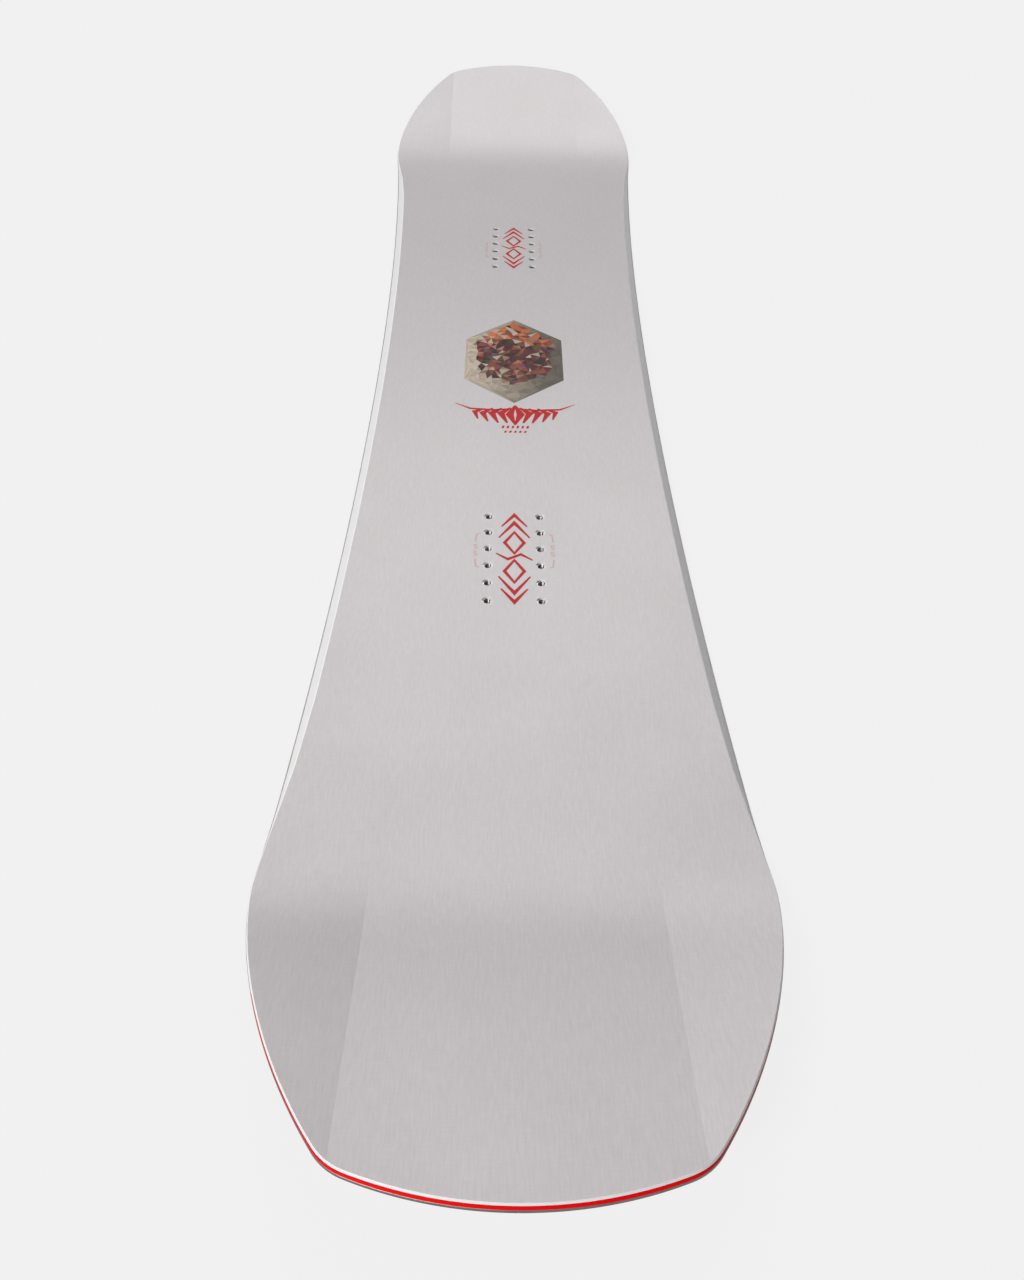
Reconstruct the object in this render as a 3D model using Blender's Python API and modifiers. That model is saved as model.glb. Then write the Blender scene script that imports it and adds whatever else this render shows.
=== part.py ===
"""Twin-tip snowboard: a pressed sandwich laminate with a full-wrap steel edge and threaded inserts.

Axes: +Y runs from the nose to the tail, +X to the right and +Z up. The origin is on the floor, under the
middle of the waist. Every layer is drawn flat first, as a distance s along the board from the waist, a
distance x across it and a height h above the running surface. The function pressed() then bends it as the
mould does: camber between the contact lines, a bend and a straight kick at each tip, and side panels that
lift outside two creases.
"""

import math

import bpy
import bmesh
from mathutils import Matrix, Vector

MM = 0.001

# Plan shape
FLAT_LENGTH = 1550 * MM
WAIST_WIDTH = 255 * MM
SIDECUT_RADIUS = 7200 * MM
SIDECUT_EASE_LENGTH = 60 * MM
TIP_LENGTH = 205 * MM
TIP_ARC_RADIUS = 195 * MM
TIP_CORNER_RADIUS = 35 * MM
CORNER_START = math.radians(22.7)
CORNER_END = math.radians(56)
SHOULDER_HANDLE = 30 * MM
CORNER_HANDLE = 87 * MM

# Side profile and tip panels
CAMBER = 5 * MM
TIP_BEND_RADIUS = 100 * MM
TIP_KICK = math.radians(14.5)
CREASE_SPACING = 166 * MM
PANEL_LIFT_SLOPE = math.tan(math.radians(1.5))
PANEL_LIFT_LEAD = 50 * MM
PANEL_LIFT_LENGTH = 110 * MM

# Thickness of the whole board and of its layers
WAIST_THICKNESS = 9.0 * MM
TIP_THICKNESS = 4.4 * MM
TAPER_LENGTH = 120 * MM
BASE_THICKNESS = 1.2 * MM
GLASS_THICKNESS = 0.4 * MM
TOPSHEET_THICKNESS = 0.4 * MM
DAMPER_THICKNESS = 0.25 * MM
BOND_LINE = 0.15 * MM
FIT_GAP = 0.3 * MM

# Steel edge, sidewall bevel and core ends
EDGE_WIDTH = 2.0 * MM
FLANGE_REACH = 7.0 * MM
EDGE_JOINT_GAP = 0.3 * MM
SIDEWALL_WIDTH = 14 * MM
SIDE_REVEAL = 0.65 * MM
SIDE_BEVEL_RUN = 1.2
TIP_REVEAL = 0.3 * MM
TIP_BEVEL_RUN = 0.62
BEVEL_FADE_LENGTH = 55 * MM
TIP_FILL_LENGTH = 75 * MM
CORE_END_SPLAY = 0.85

# Threaded inserts
STANCE = 550 * MM
INSERT_SPACING_ACROSS = 40 * MM
INSERT_SPACING_ALONG = 20 * MM
INSERTS_PER_COLUMN = 6
INSERT_FLANGE_DIAMETER = 16 * MM
INSERT_FLANGE_THICKNESS = 1.4 * MM
INSERT_BARREL_DIAMETER = 9 * MM
INSERT_BORE_DIAMETER = 5 * MM
INSERT_CHAMFER = 0.5 * MM
TOPSHEET_HOLE_DIAMETER = 7.2 * MM
STRIP_MARGIN = 2 * MM
PAD_MARGIN = 10 * MM

# Smoothness
INSERT_FACETS = 10
BEND_SEGMENTS = 4
SHOULDER_SEGMENTS = 7
CORNER_SEGMENTS = 4
TIP_ARC_SEGMENTS = 4
MERGE_DISTANCE = 1e-6
TANGENT_STEP = 1e-4

# Values that follow from the sizes above
WIDEST = FLAT_LENGTH / 2 - TIP_LENGTH
EASE_START = WIDEST - SIDECUT_EASE_LENGTH
PANEL_LIFT_START = WIDEST - PANEL_LIFT_LEAD
CONTACT = WIDEST - TIP_BEND_RADIUS * TIP_KICK
TAPER_START = CONTACT - TAPER_LENGTH
CREASE = CREASE_SPACING / 2
BASE_TOP = BASE_THICKNESS
FLANGE_BOTTOM = BASE_TOP + BOND_LINE
EDGE_HEIGHT = FLANGE_BOTTOM + GLASS_THICKNESS
CORE_BOTTOM = EDGE_HEIGHT + BOND_LINE
DAMPER_TOP = CORE_BOTTOM + DAMPER_THICKNESS
SIDEWALL_BOTTOM = DAMPER_TOP + BOND_LINE
LAYERS_OVER_CORE = BOND_LINE + GLASS_THICKNESS + BOND_LINE + TOPSHEET_THICKNESS
CORE_END = FLAT_LENGTH / 2 - TIP_FILL_LENGTH
COLUMN_X = INSERT_SPACING_ACROSS / 2
COLUMN_HALF_LENGTH = INSERT_SPACING_ALONG * (INSERTS_PER_COLUMN - 1) / 2
PAD_HALF_LENGTH = COLUMN_HALF_LENGTH + PAD_MARGIN
INSERT_HEIGHT = WAIST_THICKNESS - LAYERS_OVER_CORE - CORE_BOTTOM


def smooth_step(t):
    """Ease from 0 to 1 as t goes from 0 to 1."""
    t = min(max(t, 0.0), 1.0)
    return t * t * (3 - 2 * t)


def blend(a, b, t):
    """Mix a and b, with t held between 0 and 1."""
    return a + (b - a) * min(max(t, 0.0), 1.0)


# The mould


def mould_profile(s):
    """Running surface on the centre line at s: its y, its z and its slope angle."""
    side = math.copysign(1, s)
    u = abs(s)
    if u <= CONTACT:
        ratio = u / CONTACT
        z = CAMBER * (1 - ratio**2) ** 2
        slope = -4 * CAMBER * ratio * (1 - ratio**2) / CONTACT
        return s, z, side * math.atan(slope)
    angle = min((u - CONTACT) / TIP_BEND_RADIUS, TIP_KICK)
    y = CONTACT + TIP_BEND_RADIUS * math.sin(angle)
    z = TIP_BEND_RADIUS * (1 - math.cos(angle))
    straight = max(u - WIDEST, 0.0)
    y += straight * math.cos(angle)
    z += straight * math.sin(angle)
    return side * y, z, side * angle


def panel_lift(s, x):
    """Height that the side panels gain outside the creases, which fade in towards the tips."""
    growth = smooth_step((abs(s) - PANEL_LIFT_START) / PANEL_LIFT_LENGTH)
    return growth * PANEL_LIFT_SLOPE * max(abs(x) - CREASE, 0.0)


def pressed(s, x, h):
    """Place in space of the flat point (s, x) at height h above the running surface."""
    y, z, slope = mould_profile(s)
    height = h + panel_lift(s, x)
    return Vector((x, y - math.sin(slope) * height, z + math.cos(slope) * height))


# Heights of the layers


def board_top(s):
    """Top of the topsheet: full over the inserts, thinner from the taper to the contact line."""
    return blend(WAIST_THICKNESS, TIP_THICKNESS, (abs(s) - TAPER_START) / (CONTACT - TAPER_START))


def core_top(s):
    return board_top(s) - LAYERS_OVER_CORE


def top_glass_bottom(s):
    return core_top(s) + BOND_LINE


def top_glass_top(s):
    return top_glass_bottom(s) + GLASS_THICKNESS


def topsheet_bottom(s):
    return board_top(s) - TOPSHEET_THICKNESS


def level(h):
    """A height that is the same all along the board."""
    return lambda s: h


# Plan outline


def bezier(points, t):
    """Value at t of the cubic with the four given control points, which are vectors or numbers."""
    a, b, c, d = points
    u = 1 - t
    return a * u**3 + b * (3 * u**2 * t) + c * (3 * u * t**2) + d * t**3


def sidecut_arc(s):
    return WAIST_WIDTH / 2 + s**2 / (2 * SIDECUT_RADIUS)


def sidecut(s):
    """Half width between the widest lines: the sidecut's arc, which turns parallel as it reaches them."""
    if abs(s) <= EASE_START:
        return sidecut_arc(s)
    start = sidecut_arc(EASE_START)
    handle = EASE_START / SIDECUT_RADIUS * SIDECUT_EASE_LENGTH / 3
    end = sidecut_arc(WIDEST)
    return bezier((start, start + handle, end, end), (abs(s) - EASE_START) / SIDECUT_EASE_LENGTH)


def corner_angles():
    """Directions round the tip corner, from its shoulder end to its tip end, with one on the crease."""
    angles = [blend(CORNER_END, CORNER_START, k / CORNER_SEGMENTS) for k in range(CORNER_SEGMENTS + 1)]
    centre_x = (TIP_ARC_RADIUS - TIP_CORNER_RADIUS) * math.sin(CORNER_START)
    on_crease = (CREASE - centre_x) / TIP_CORNER_RADIUS
    if math.sin(CORNER_START) < on_crease < math.sin(CORNER_END):
        crease_angle = math.asin(on_crease)
        nearest = min(range(1, CORNER_SEGMENTS), key=lambda k: abs(angles[k] - crease_angle))
        angles[nearest] = crease_angle
    return angles


def tip_outline():
    """Outline from the widest line to the tip: point and outward direction, both as (s, x)."""
    arc_centre = Vector((FLAT_LENGTH / 2 - TIP_ARC_RADIUS, 0))
    toward = Vector((math.cos(CORNER_START), math.sin(CORNER_START)))
    corner_centre = arc_centre + toward * (TIP_ARC_RADIUS - TIP_CORNER_RADIUS)
    corner_out = Vector((math.cos(CORNER_END), math.sin(CORNER_END)))
    corner_along = Vector((-corner_out.y, corner_out.x))
    corner_point = corner_centre + corner_out * TIP_CORNER_RADIUS
    widest_point = Vector((WIDEST, sidecut(WIDEST)))
    shoulder = (
        widest_point,
        widest_point + Vector((SHOULDER_HANDLE, 0)),
        corner_point + corner_along * CORNER_HANDLE,
        corner_point,
    )
    points = []
    for k in range(SHOULDER_SEGMENTS):
        t = k / SHOULDER_SEGMENTS
        step = bezier(shoulder, t + TANGENT_STEP) - bezier(shoulder, t)
        points.append((bezier(shoulder, t), Vector((-step.y, step.x)).normalized()))
    for angle in corner_angles():
        out = Vector((math.cos(angle), math.sin(angle)))
        points.append((corner_centre + out * TIP_CORNER_RADIUS, out))
    for k in reversed(range(TIP_ARC_SEGMENTS)):
        angle = CORNER_START * (k + 0.5) / (TIP_ARC_SEGMENTS + 0.5)
        out = Vector((math.cos(angle), math.sin(angle)))
        points.append((arc_centre + out * TIP_ARC_RADIUS, out))
    return points


def running_stations():
    """Places along one half where the sections between waist and widest line are drawn."""
    pad_start = STANCE / 2 - PAD_HALF_LENGTH
    pad_end = STANCE / 2 + PAD_HALF_LENGTH
    first = pad_start / 6
    middle = (first + pad_start) / 2
    stations = [first, middle, pad_start, pad_end, TAPER_START, EASE_START, CONTACT]
    stations += [blend(CONTACT, WIDEST, k / BEND_SEGMENTS) for k in range(1, BEND_SEGMENTS)]
    return sorted(stations)


def half_outline():
    """Right-hand outline from the waist to the tail tip, as (point, outward direction)."""
    running = [(Vector((s, sidecut(s))), Vector((0, 1))) for s in running_stations()]
    return running + tip_outline()


HALF_OUTLINE = half_outline()
CREASE_INDEX = min(
    range(len(running_stations()), len(HALF_OUTLINE)),
    key=lambda i: abs(HALF_OUTLINE[i][0].y - CREASE),
)


def half_rail(inset):
    """The half outline moved inwards by inset(s), as a list of (s, x)."""
    rail = []
    for point, out in HALF_OUTLINE:
        inner = point - out * inset(point.x)
        rail.append((inner.x, inner.y))
    return rail


def whole(rail):
    """A half rail joined with its mirror image, from the nose end to the tail end."""
    return [(-s, x) for s, x in reversed(rail)] + rail


def bevel_inset(height):
    """How far the bevelled side lies inside the steel at height(s), as a function of s."""

    def inset(s):
        fade = (abs(s) - CONTACT) / BEVEL_FADE_LENGTH
        reveal = blend(SIDE_REVEAL, TIP_REVEAL, fade)
        run = blend(SIDE_BEVEL_RUN, TIP_BEVEL_RUN, fade)
        return reveal + run * (height(s) - EDGE_HEIGHT)

    return inset


# Ends of the core


def core_end(x):
    """Distance from the waist at which the core ends: square between the creases, splayed outside."""
    return CORE_END - max(abs(x) - CREASE, 0.0) * CORE_END_SPLAY


def past_core_end(point):
    s, x = point
    return abs(s) - core_end(x)


def split_at_core_end(rail, gap=0.0):
    """The two parts of a half rail before and after the core's end line moved out by gap, both with the
    point where they meet."""
    after = next(i for i, point in enumerate(rail) if past_core_end(point) > gap)
    (s0, x0), (s1, x1) = rail[after - 1], rail[after]
    before_by = gap - past_core_end(rail[after - 1])
    after_by = past_core_end(rail[after]) - gap
    t = before_by / (before_by + after_by)
    meeting = (s0 + (s1 - s0) * t, x0 + (x1 - x0) * t)
    return rail[:after] + [meeting], [meeting] + rail[after:]


def cut_at_core_end(rails):
    """Half rails that stop at the end of the core. Repeated end points bring them to one length."""
    cut = [split_at_core_end(rail)[0] for rail in rails]
    longest = max(len(rail) for rail in cut)
    return [rail + rail[-1:] * (longest - len(rail)) for rail in cut]


def past_the_core(rails):
    """Half rails that start a fitting gap beyond the core, with repeated first points for one length."""
    cut = [split_at_core_end(rail, FIT_GAP)[1] for rail in rails]
    longest = max(len(rail) for rail in cut)
    return [rail[:1] * (longest - len(rail)) + rail for rail in cut]


# Solids


def material(name, colour, roughness, metallic=0.0):
    made = bpy.data.materials.new(name)
    made.use_nodes = True
    shader = made.node_tree.nodes["Principled BSDF"]
    shader.inputs["Base Color"].default_value = (*colour, 1)
    shader.inputs["Roughness"].default_value = roughness
    shader.inputs["Metallic"].default_value = metallic
    return made


def mesh_object(name, bm, finish, collection):
    mesh = bpy.data.meshes.new(name)
    bm.to_mesh(mesh)
    bm.free()
    mesh.materials.append(finish)
    made = bpy.data.objects.new(name, mesh)
    collection.objects.link(made)
    return made


def skin(bm, ring, following):
    """Two triangles for each side of the section, all split the same way so that stacked layers nest.

    Each split runs from the corner nearer the middle of the board, both along and across, to the far one.
    """
    for k in range(len(ring)):
        a, b, c, d = ring[k - 1], ring[k], following[k], following[k - 1]
        ring_is_inner = abs(b.co.y) < abs(c.co.y)
        a_is_inner = abs(a.co.x) < abs(b.co.x)
        if ring_is_inner == a_is_inner:
            halves = (a, b, c), (a, c, d)
        else:
            halves = (a, b, d), (b, c, d)
        for half in halves:
            bm.faces.new(half)


def loft(name, corners, finish, collection):
    """Solid skinned through sections. Each corner of the section is a signed rail and a height function."""
    bm = bmesh.new()
    loops = []
    for i in range(len(corners[0][0])):
        ring = []
        for rail, height in corners:
            s, x = rail[i]
            ring.append(bm.verts.new(pressed(s, x, height(s))))
        loops.append(ring)
    for ring, following in zip(loops, loops[1:]):
        skin(bm, ring, following)
    bm.faces.new(loops[0])
    bm.faces.new(loops[-1])
    bmesh.ops.remove_doubles(bm, verts=bm.verts, dist=MERGE_DISTANCE)
    bmesh.ops.recalc_face_normals(bm, faces=bm.faces)
    return mesh_object(name, bm, finish, collection)


def signed(rail, side):
    return [(s, side * x) for s, x in rail]


def sheet(name, bottom, top, inset_bottom, inset_top, finish, collection):
    """A layer over the whole board, creased along both panel lines."""
    corners = []
    for height, inset, across in ((bottom, inset_bottom, (-1, 1)), (top, inset_top, (1, -1))):
        rail = whole(half_rail(inset))
        crease = [(s, min(x, CREASE)) for s, x in rail]
        first, last = across
        corners.append((signed(rail, first), height))
        corners.append((signed(crease, first), height))
        corners.append((signed(crease, last), height))
        corners.append((signed(rail, last), height))
    return loft(name, corners, finish, collection)


def side_strip(name, side, rails, heights, finish, collection):
    """A strip along one side that ends with the core. Its half rails and heights go round the section."""
    rails = cut_at_core_end(rails)
    corners = [(signed(whole(rail), side), height) for rail, height in zip(rails, heights)]
    return loft(name, corners, finish, collection)


def straight_rail(x):
    """Half rail at a constant distance from the centre line."""
    return [(point.x, x) for point, _ in HALF_OUTLINE]


def steel_edge(side, name, finish, collection):
    """Half of the wrapped edge: a square body with a flange under the laminate, nose joint to tail joint."""
    section = (
        (0.0, 0.0),
        (0.0, EDGE_HEIGHT),
        (FLANGE_REACH, EDGE_HEIGHT),
        (FLANGE_REACH, FLANGE_BOTTOM),
        (EDGE_WIDTH, FLANGE_BOTTOM),
        (EDGE_WIDTH, 0.0),
    )
    corners = []
    for inset, height in section:
        rail = half_rail(level(inset))
        rail.append((rail[-1][0], EDGE_JOINT_GAP / 2))
        corners.append((signed(whole(rail), side), level(height)))
    return loft(name, corners, finish, collection)


def tip_fill(end, name, finish, collection):
    """Plate between the core's end and the tip, with a bevelled rim. end is -1 at the nose, 1 at the tail."""
    outer_low, outer_high = past_the_core(
        [half_rail(bevel_inset(level(CORE_BOTTOM))), half_rail(bevel_inset(core_top))]
    )
    inner_low = split_at_core_end(half_rail(level(SIDEWALL_WIDTH)), FIT_GAP)[1]
    horn_x = inner_low[0][1]
    tip_x = outer_low[-1][1]
    last = len(outer_low) - 1
    crease = last - (len(HALF_OUTLINE) - 1 - CREASE_INDEX)
    inner_x = [blend(horn_x, CREASE, i / crease) for i in range(crease)]
    inner_x += [blend(CREASE, tip_x, (i - crease) / (last - crease)) for i in range(crease, last + 1)]
    inner_rail = [(core_end(x) + FIT_GAP, x) for x in inner_x]
    corners = []
    for rail, height in (
        (outer_low, level(CORE_BOTTOM)),
        (outer_high, core_top),
        (inner_rail, core_top),
        (inner_rail, level(CORE_BOTTOM)),
    ):
        round_tip = rail + [(s, -x) for s, x in reversed(rail)]
        corners.append(([(end * s, x) for s, x in round_tip], height))
    return loft(name, corners, finish, collection)


# Inserts and their bores


def turned(name, profile, finish, collection):
    """Solid of revolution about Z. The profile runs down its outer side, as (radius, height)."""
    bm = bmesh.new()
    verts = [bm.verts.new((radius, 0, height)) for radius, height in profile]
    for a, b in zip(verts, verts[1:]):
        bm.edges.new((a, b))
    if profile[0][0] > 0:
        bm.edges.new((verts[-1], verts[0]))
    made = mesh_object(name, bm, finish, collection)
    screw = made.modifiers.new("turn", "SCREW")
    screw.steps = INSERT_FACETS
    screw.render_steps = INSERT_FACETS
    screw.use_merge_vertices = True
    screw.merge_threshold = MERGE_DISTANCE
    return made


def insert_profile():
    bore = INSERT_BORE_DIAMETER / 2
    barrel = INSERT_BARREL_DIAMETER / 2
    flange = INSERT_FLANGE_DIAMETER / 2
    return (
        (bore + INSERT_CHAMFER, INSERT_HEIGHT),
        (barrel, INSERT_HEIGHT),
        (barrel, INSERT_FLANGE_THICKNESS),
        (flange, INSERT_FLANGE_THICKNESS),
        (flange, 0.0),
        (bore, 0.0),
        (bore, INSERT_HEIGHT - INSERT_CHAMFER),
    )


def bore_profile():
    """Stepped space that one insert needs: flange seat, barrel bore and the hole up through the top layers."""
    hole = TOPSHEET_HOLE_DIAMETER / 2
    barrel = INSERT_BARREL_DIAMETER / 2 + FIT_GAP
    flange = INSERT_FLANGE_DIAMETER / 2 + FIT_GAP
    over_core = INSERT_HEIGHT + BOND_LINE / 2
    flange_seat = INSERT_FLANGE_THICKNESS + FIT_GAP
    clear_of_board = INSERT_HEIGHT + 2 * LAYERS_OVER_CORE
    return (
        (0.0, clear_of_board),
        (hole, clear_of_board),
        (hole, over_core),
        (barrel, over_core),
        (barrel, flange_seat),
        (flange, flange_seat),
        (flange, -BOND_LINE / 2),
        (0.0, -BOND_LINE / 2),
    )


def pad_frame(end):
    """Frame of the flat insert pad nearest that end: origin at its middle on the core's underside."""
    near = pressed(end * (STANCE / 2 - PAD_HALF_LENGTH), 0, CORE_BOTTOM)
    far = pressed(end * (STANCE / 2 + PAD_HALF_LENGTH), 0, CORE_BOTTOM)
    along = (far - near).normalized() * end
    across = Vector((1, 0, 0))
    up = across.cross(along)
    frame = Matrix((across, along, up)).transposed().to_4x4()
    frame.translation = (near + far) / 2
    return frame


def insert_places():
    """Name and world matrix of each insert."""
    for end, end_name in ((-1, "nose"), (1, "tail")):
        frame = pad_frame(end)
        for side, side_name in ((-1, "left"), (1, "right")):
            for k in range(INSERTS_PER_COLUMN):
                along = (k - (INSERTS_PER_COLUMN - 1) / 2) * INSERT_SPACING_ALONG
                shift = Matrix.Translation((side * COLUMN_X, along, 0))
                yield f"insert_{end_name}_{side_name}_{k + 1}", frame @ shift


def cut_bores(made, bores):
    cut = made.modifiers.new("insert_bores", "BOOLEAN")
    cut.operand_type = "COLLECTION"
    cut.collection = bores


# Assembly


def core_strips(wood, inlay, bores, collection):
    """Nine strips side by side. The two that carry the inserts are a harder wood and are bored."""
    seat = INSERT_FLANGE_DIAMETER / 2 + STRIP_MARGIN
    lines = [COLUMN_X - seat, COLUMN_X + seat, (COLUMN_X + seat + CREASE) / 2, CREASE]
    heights = (level(CORE_BOTTOM), level(CORE_BOTTOM), core_top, core_top)
    half_glue = BOND_LINE / 2
    centre = straight_rail(lines[0] - half_glue)
    (centre,) = cut_at_core_end([centre])
    left, right = signed(whole(centre), -1), whole(centre)
    corners = list(zip((left, right, right, left), heights))
    loft("core_strip_centre", corners, wood, collection)
    for side, side_name in ((-1, "left"), (1, "right")):
        for k, line in enumerate(lines):
            inner = straight_rail(line + half_glue)
            if k + 1 < len(lines):
                outer = straight_rail(lines[k + 1] - half_glue)
            else:
                outer = half_rail(level(SIDEWALL_WIDTH + BOND_LINE))
            rails = (inner, outer, outer, inner)
            name = f"core_strip_{side_name}_{k + 1}"
            strip = side_strip(name, side, rails, heights, inlay if k == 0 else wood, collection)
            if k == 0:
                cut_bores(strip, bores)


def sidewalls(plastic, rubber, collection):
    """White sidewalls with the rubber damping strips that lie under them."""
    inner = half_rail(level(SIDEWALL_WIDTH))
    foot = bevel_inset(level(SIDEWALL_BOTTOM))
    for side, side_name in ((-1, "left"), (1, "right")):
        outer_low = half_rail(foot)
        outer_high = half_rail(bevel_inset(core_top))
        side_strip(
            f"sidewall_{side_name}",
            side,
            (inner, outer_low, outer_high, inner),
            (level(SIDEWALL_BOTTOM), level(SIDEWALL_BOTTOM), core_top, core_top),
            plastic,
            collection,
        )
        rubber_low = half_rail(bevel_inset(level(CORE_BOTTOM)))
        rubber_high = half_rail(bevel_inset(level(DAMPER_TOP)))
        side_strip(
            f"damping_strip_{side_name}",
            side,
            (inner, rubber_low, rubber_high, inner),
            (level(CORE_BOTTOM), level(CORE_BOTTOM), level(DAMPER_TOP), level(DAMPER_TOP)),
            rubber,
            collection,
        )


def sheets(finishes, bores, collection):
    """Base, both glass laminates and the topsheet."""
    base_inset = level(EDGE_WIDTH + BOND_LINE)
    glass_inset = level(FLANGE_REACH + FIT_GAP)
    sheet("base", level(0.0), level(BASE_TOP), base_inset, base_inset, finishes["base"], collection)
    sheet(
        "bottom_glass",
        level(FLANGE_BOTTOM),
        level(EDGE_HEIGHT),
        glass_inset,
        glass_inset,
        finishes["glass"],
        collection,
    )
    top_glass = sheet(
        "top_glass",
        top_glass_bottom,
        top_glass_top,
        bevel_inset(top_glass_bottom),
        bevel_inset(top_glass_top),
        finishes["glass"],
        collection,
    )
    topsheet = sheet(
        "topsheet",
        topsheet_bottom,
        board_top,
        bevel_inset(topsheet_bottom),
        bevel_inset(board_top),
        finishes["topsheet"],
        collection,
    )
    cut_bores(top_glass, bores)
    cut_bores(topsheet, bores)


def inserts(steel, collection, bores):
    """Every insert, with the stepped cutter that makes room for it."""
    for name, place in insert_places():
        piece = turned(name, insert_profile(), steel, collection)
        piece.matrix_world = place
        piece.data.shade_smooth()
        cutter = turned(f"{name}_bore", bore_profile(), steel, bores)
        cutter.matrix_world = place
        cutter.hide_render = True
        cutter.display_type = "WIRE"


def build():
    for old in list(bpy.data.objects):
        bpy.data.objects.remove(old)
    board = bpy.data.collections.new("snowboard")
    bores = bpy.data.collections.new("cutters")
    bores.hide_render = True
    bpy.context.scene.collection.children.link(board)
    bpy.context.scene.collection.children.link(bores)
    finishes = {
        "topsheet": material("topsheet_grey", (0.52, 0.50, 0.505), 0.45),
        "glass": material("glass_laminate", (0.72, 0.74, 0.66), 0.4),
        "base": material("sintered_base", (0.03, 0.03, 0.032), 0.5),
        "wood": material("core_wood", (0.62, 0.45, 0.27), 0.7),
        "inlay": material("insert_strip_wood", (0.5, 0.33, 0.18), 0.7),
        "sidewall": material("sidewall_white", (0.83, 0.83, 0.83), 0.45),
        "fill": material("tip_fill_red", (0.78, 0.01, 0.01), 0.4),
        "rubber": material("damping_rubber", (0.05, 0.05, 0.05), 0.8),
        "edge": material("edge_steel", (0.48, 0.46, 0.44), 0.35, 1.0),
        "insert": material("insert_steel", (0.6, 0.6, 0.6), 0.3, 1.0),
    }
    inserts(finishes["insert"], board, bores)
    sheets(finishes, bores, board)
    core_strips(finishes["wood"], finishes["inlay"], bores, board)
    sidewalls(finishes["sidewall"], finishes["rubber"], board)
    for side, name in ((-1, "steel_edge_left"), (1, "steel_edge_right")):
        steel_edge(side, name, finishes["edge"], board)
    for end, name in ((-1, "nose_tip_fill"), (1, "tail_tip_fill")):
        tip_fill(end, name, finishes["fill"], board)


build()
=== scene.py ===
"""Looks of a twin-tip snowboard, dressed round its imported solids.

The board lies on a pale studio floor. Each outer layer is drawn again as a finely stepped mesh from the
solids' own flat outline and mould. A point is given as a distance s along the board from the waist, a
distance x across it and a height h above the running surface, and BoardShape.place() presses it into shape.
Lengths are in metres and angles in radians, except where millimetres or degrees are named.
"""

import logging
import math
import random
from dataclasses import dataclass, field
from enum import Enum
from typing import Callable, Optional, Sequence, TypeVar, Union

import bmesh
import bpy
import numpy as np
from mathutils import Matrix, Vector, geometry


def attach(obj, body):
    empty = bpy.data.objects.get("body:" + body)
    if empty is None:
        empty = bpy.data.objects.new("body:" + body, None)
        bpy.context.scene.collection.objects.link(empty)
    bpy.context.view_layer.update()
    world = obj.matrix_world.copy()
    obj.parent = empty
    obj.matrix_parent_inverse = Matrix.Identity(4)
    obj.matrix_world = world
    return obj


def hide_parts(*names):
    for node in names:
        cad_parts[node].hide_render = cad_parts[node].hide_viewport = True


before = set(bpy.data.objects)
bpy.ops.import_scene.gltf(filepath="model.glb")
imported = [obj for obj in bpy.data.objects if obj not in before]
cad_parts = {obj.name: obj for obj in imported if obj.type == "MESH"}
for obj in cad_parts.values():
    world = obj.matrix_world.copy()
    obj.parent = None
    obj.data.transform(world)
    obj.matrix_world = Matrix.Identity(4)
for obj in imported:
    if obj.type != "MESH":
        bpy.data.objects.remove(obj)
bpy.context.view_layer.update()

MM = 0.001
UNIT = (0.0, 1.0)
THREADS = (0.3, 0.7)
LOG = logging.getLogger("snowboard")

Value = TypeVar("Value", float, Vector)
Number = TypeVar("Number", float, np.ndarray)
Height = Callable[[np.ndarray], np.ndarray]
Section = list[tuple[np.ndarray, Height]]
Faces = list[tuple[int, ...]]
Pair = tuple[float, float]
Colour = tuple[float, float, float]
Point = tuple[float, float, float]
Line = Sequence[Point]
Film = tuple[list[Pair], Optional[Colour]]
Thing = bpy.types.Object
Tree = bpy.types.NodeTree
Material = bpy.types.Material
Socket = bpy.types.NodeSocket


class Way(Enum):
    """A choice between two directions, each with its sign."""

    @property
    def word(self) -> str:
        """Its name as the solids spell it."""
        return self.name.lower()


class End(Way):
    """The two ends of the board, with their signs along it."""

    NOSE = -1
    TAIL = 1


class Side(Way):
    """The two sides of the board, with their signs across it."""

    LEFT = -1
    RIGHT = 1


def smooth_step(t: np.ndarray) -> np.ndarray:
    """Ease from 0 to 1 as t goes from 0 to 1."""
    t = np.clip(t, 0.0, 1.0)
    return t * t * (3 - 2 * t)


def between(low: Number, high: Number, t: Number) -> Number:
    """Value that goes from low to high as t goes from 0 to 1."""
    return low + (high - low) * t


def cubic(points: Sequence[Value], t: float) -> Value:
    """Value of a cubic.

    Args:
        points: Its four control points, which are vectors or numbers.
        t: How far along it, from 0 to 1.

    Returns:
        A vector or a number, as the control points are.
    """
    a, b, c, d = points
    u = 1 - t
    return a * u**3 + b * (3 * u**2 * t) + c * (3 * u * t**2) + d * t**3


def heading(angle: float) -> Vector:
    """Unit vector at an angle from the board's length."""
    return Vector((math.cos(angle), math.sin(angle)))


def sideways(step: Vector) -> Vector:
    """A flat vector turned a quarter to the left."""
    return Vector((-step.y, step.x))


def shaded(colour: Colour, share: float) -> Colour:
    """A colour made lighter or darker."""
    return tuple(share * c for c in colour)


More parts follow.
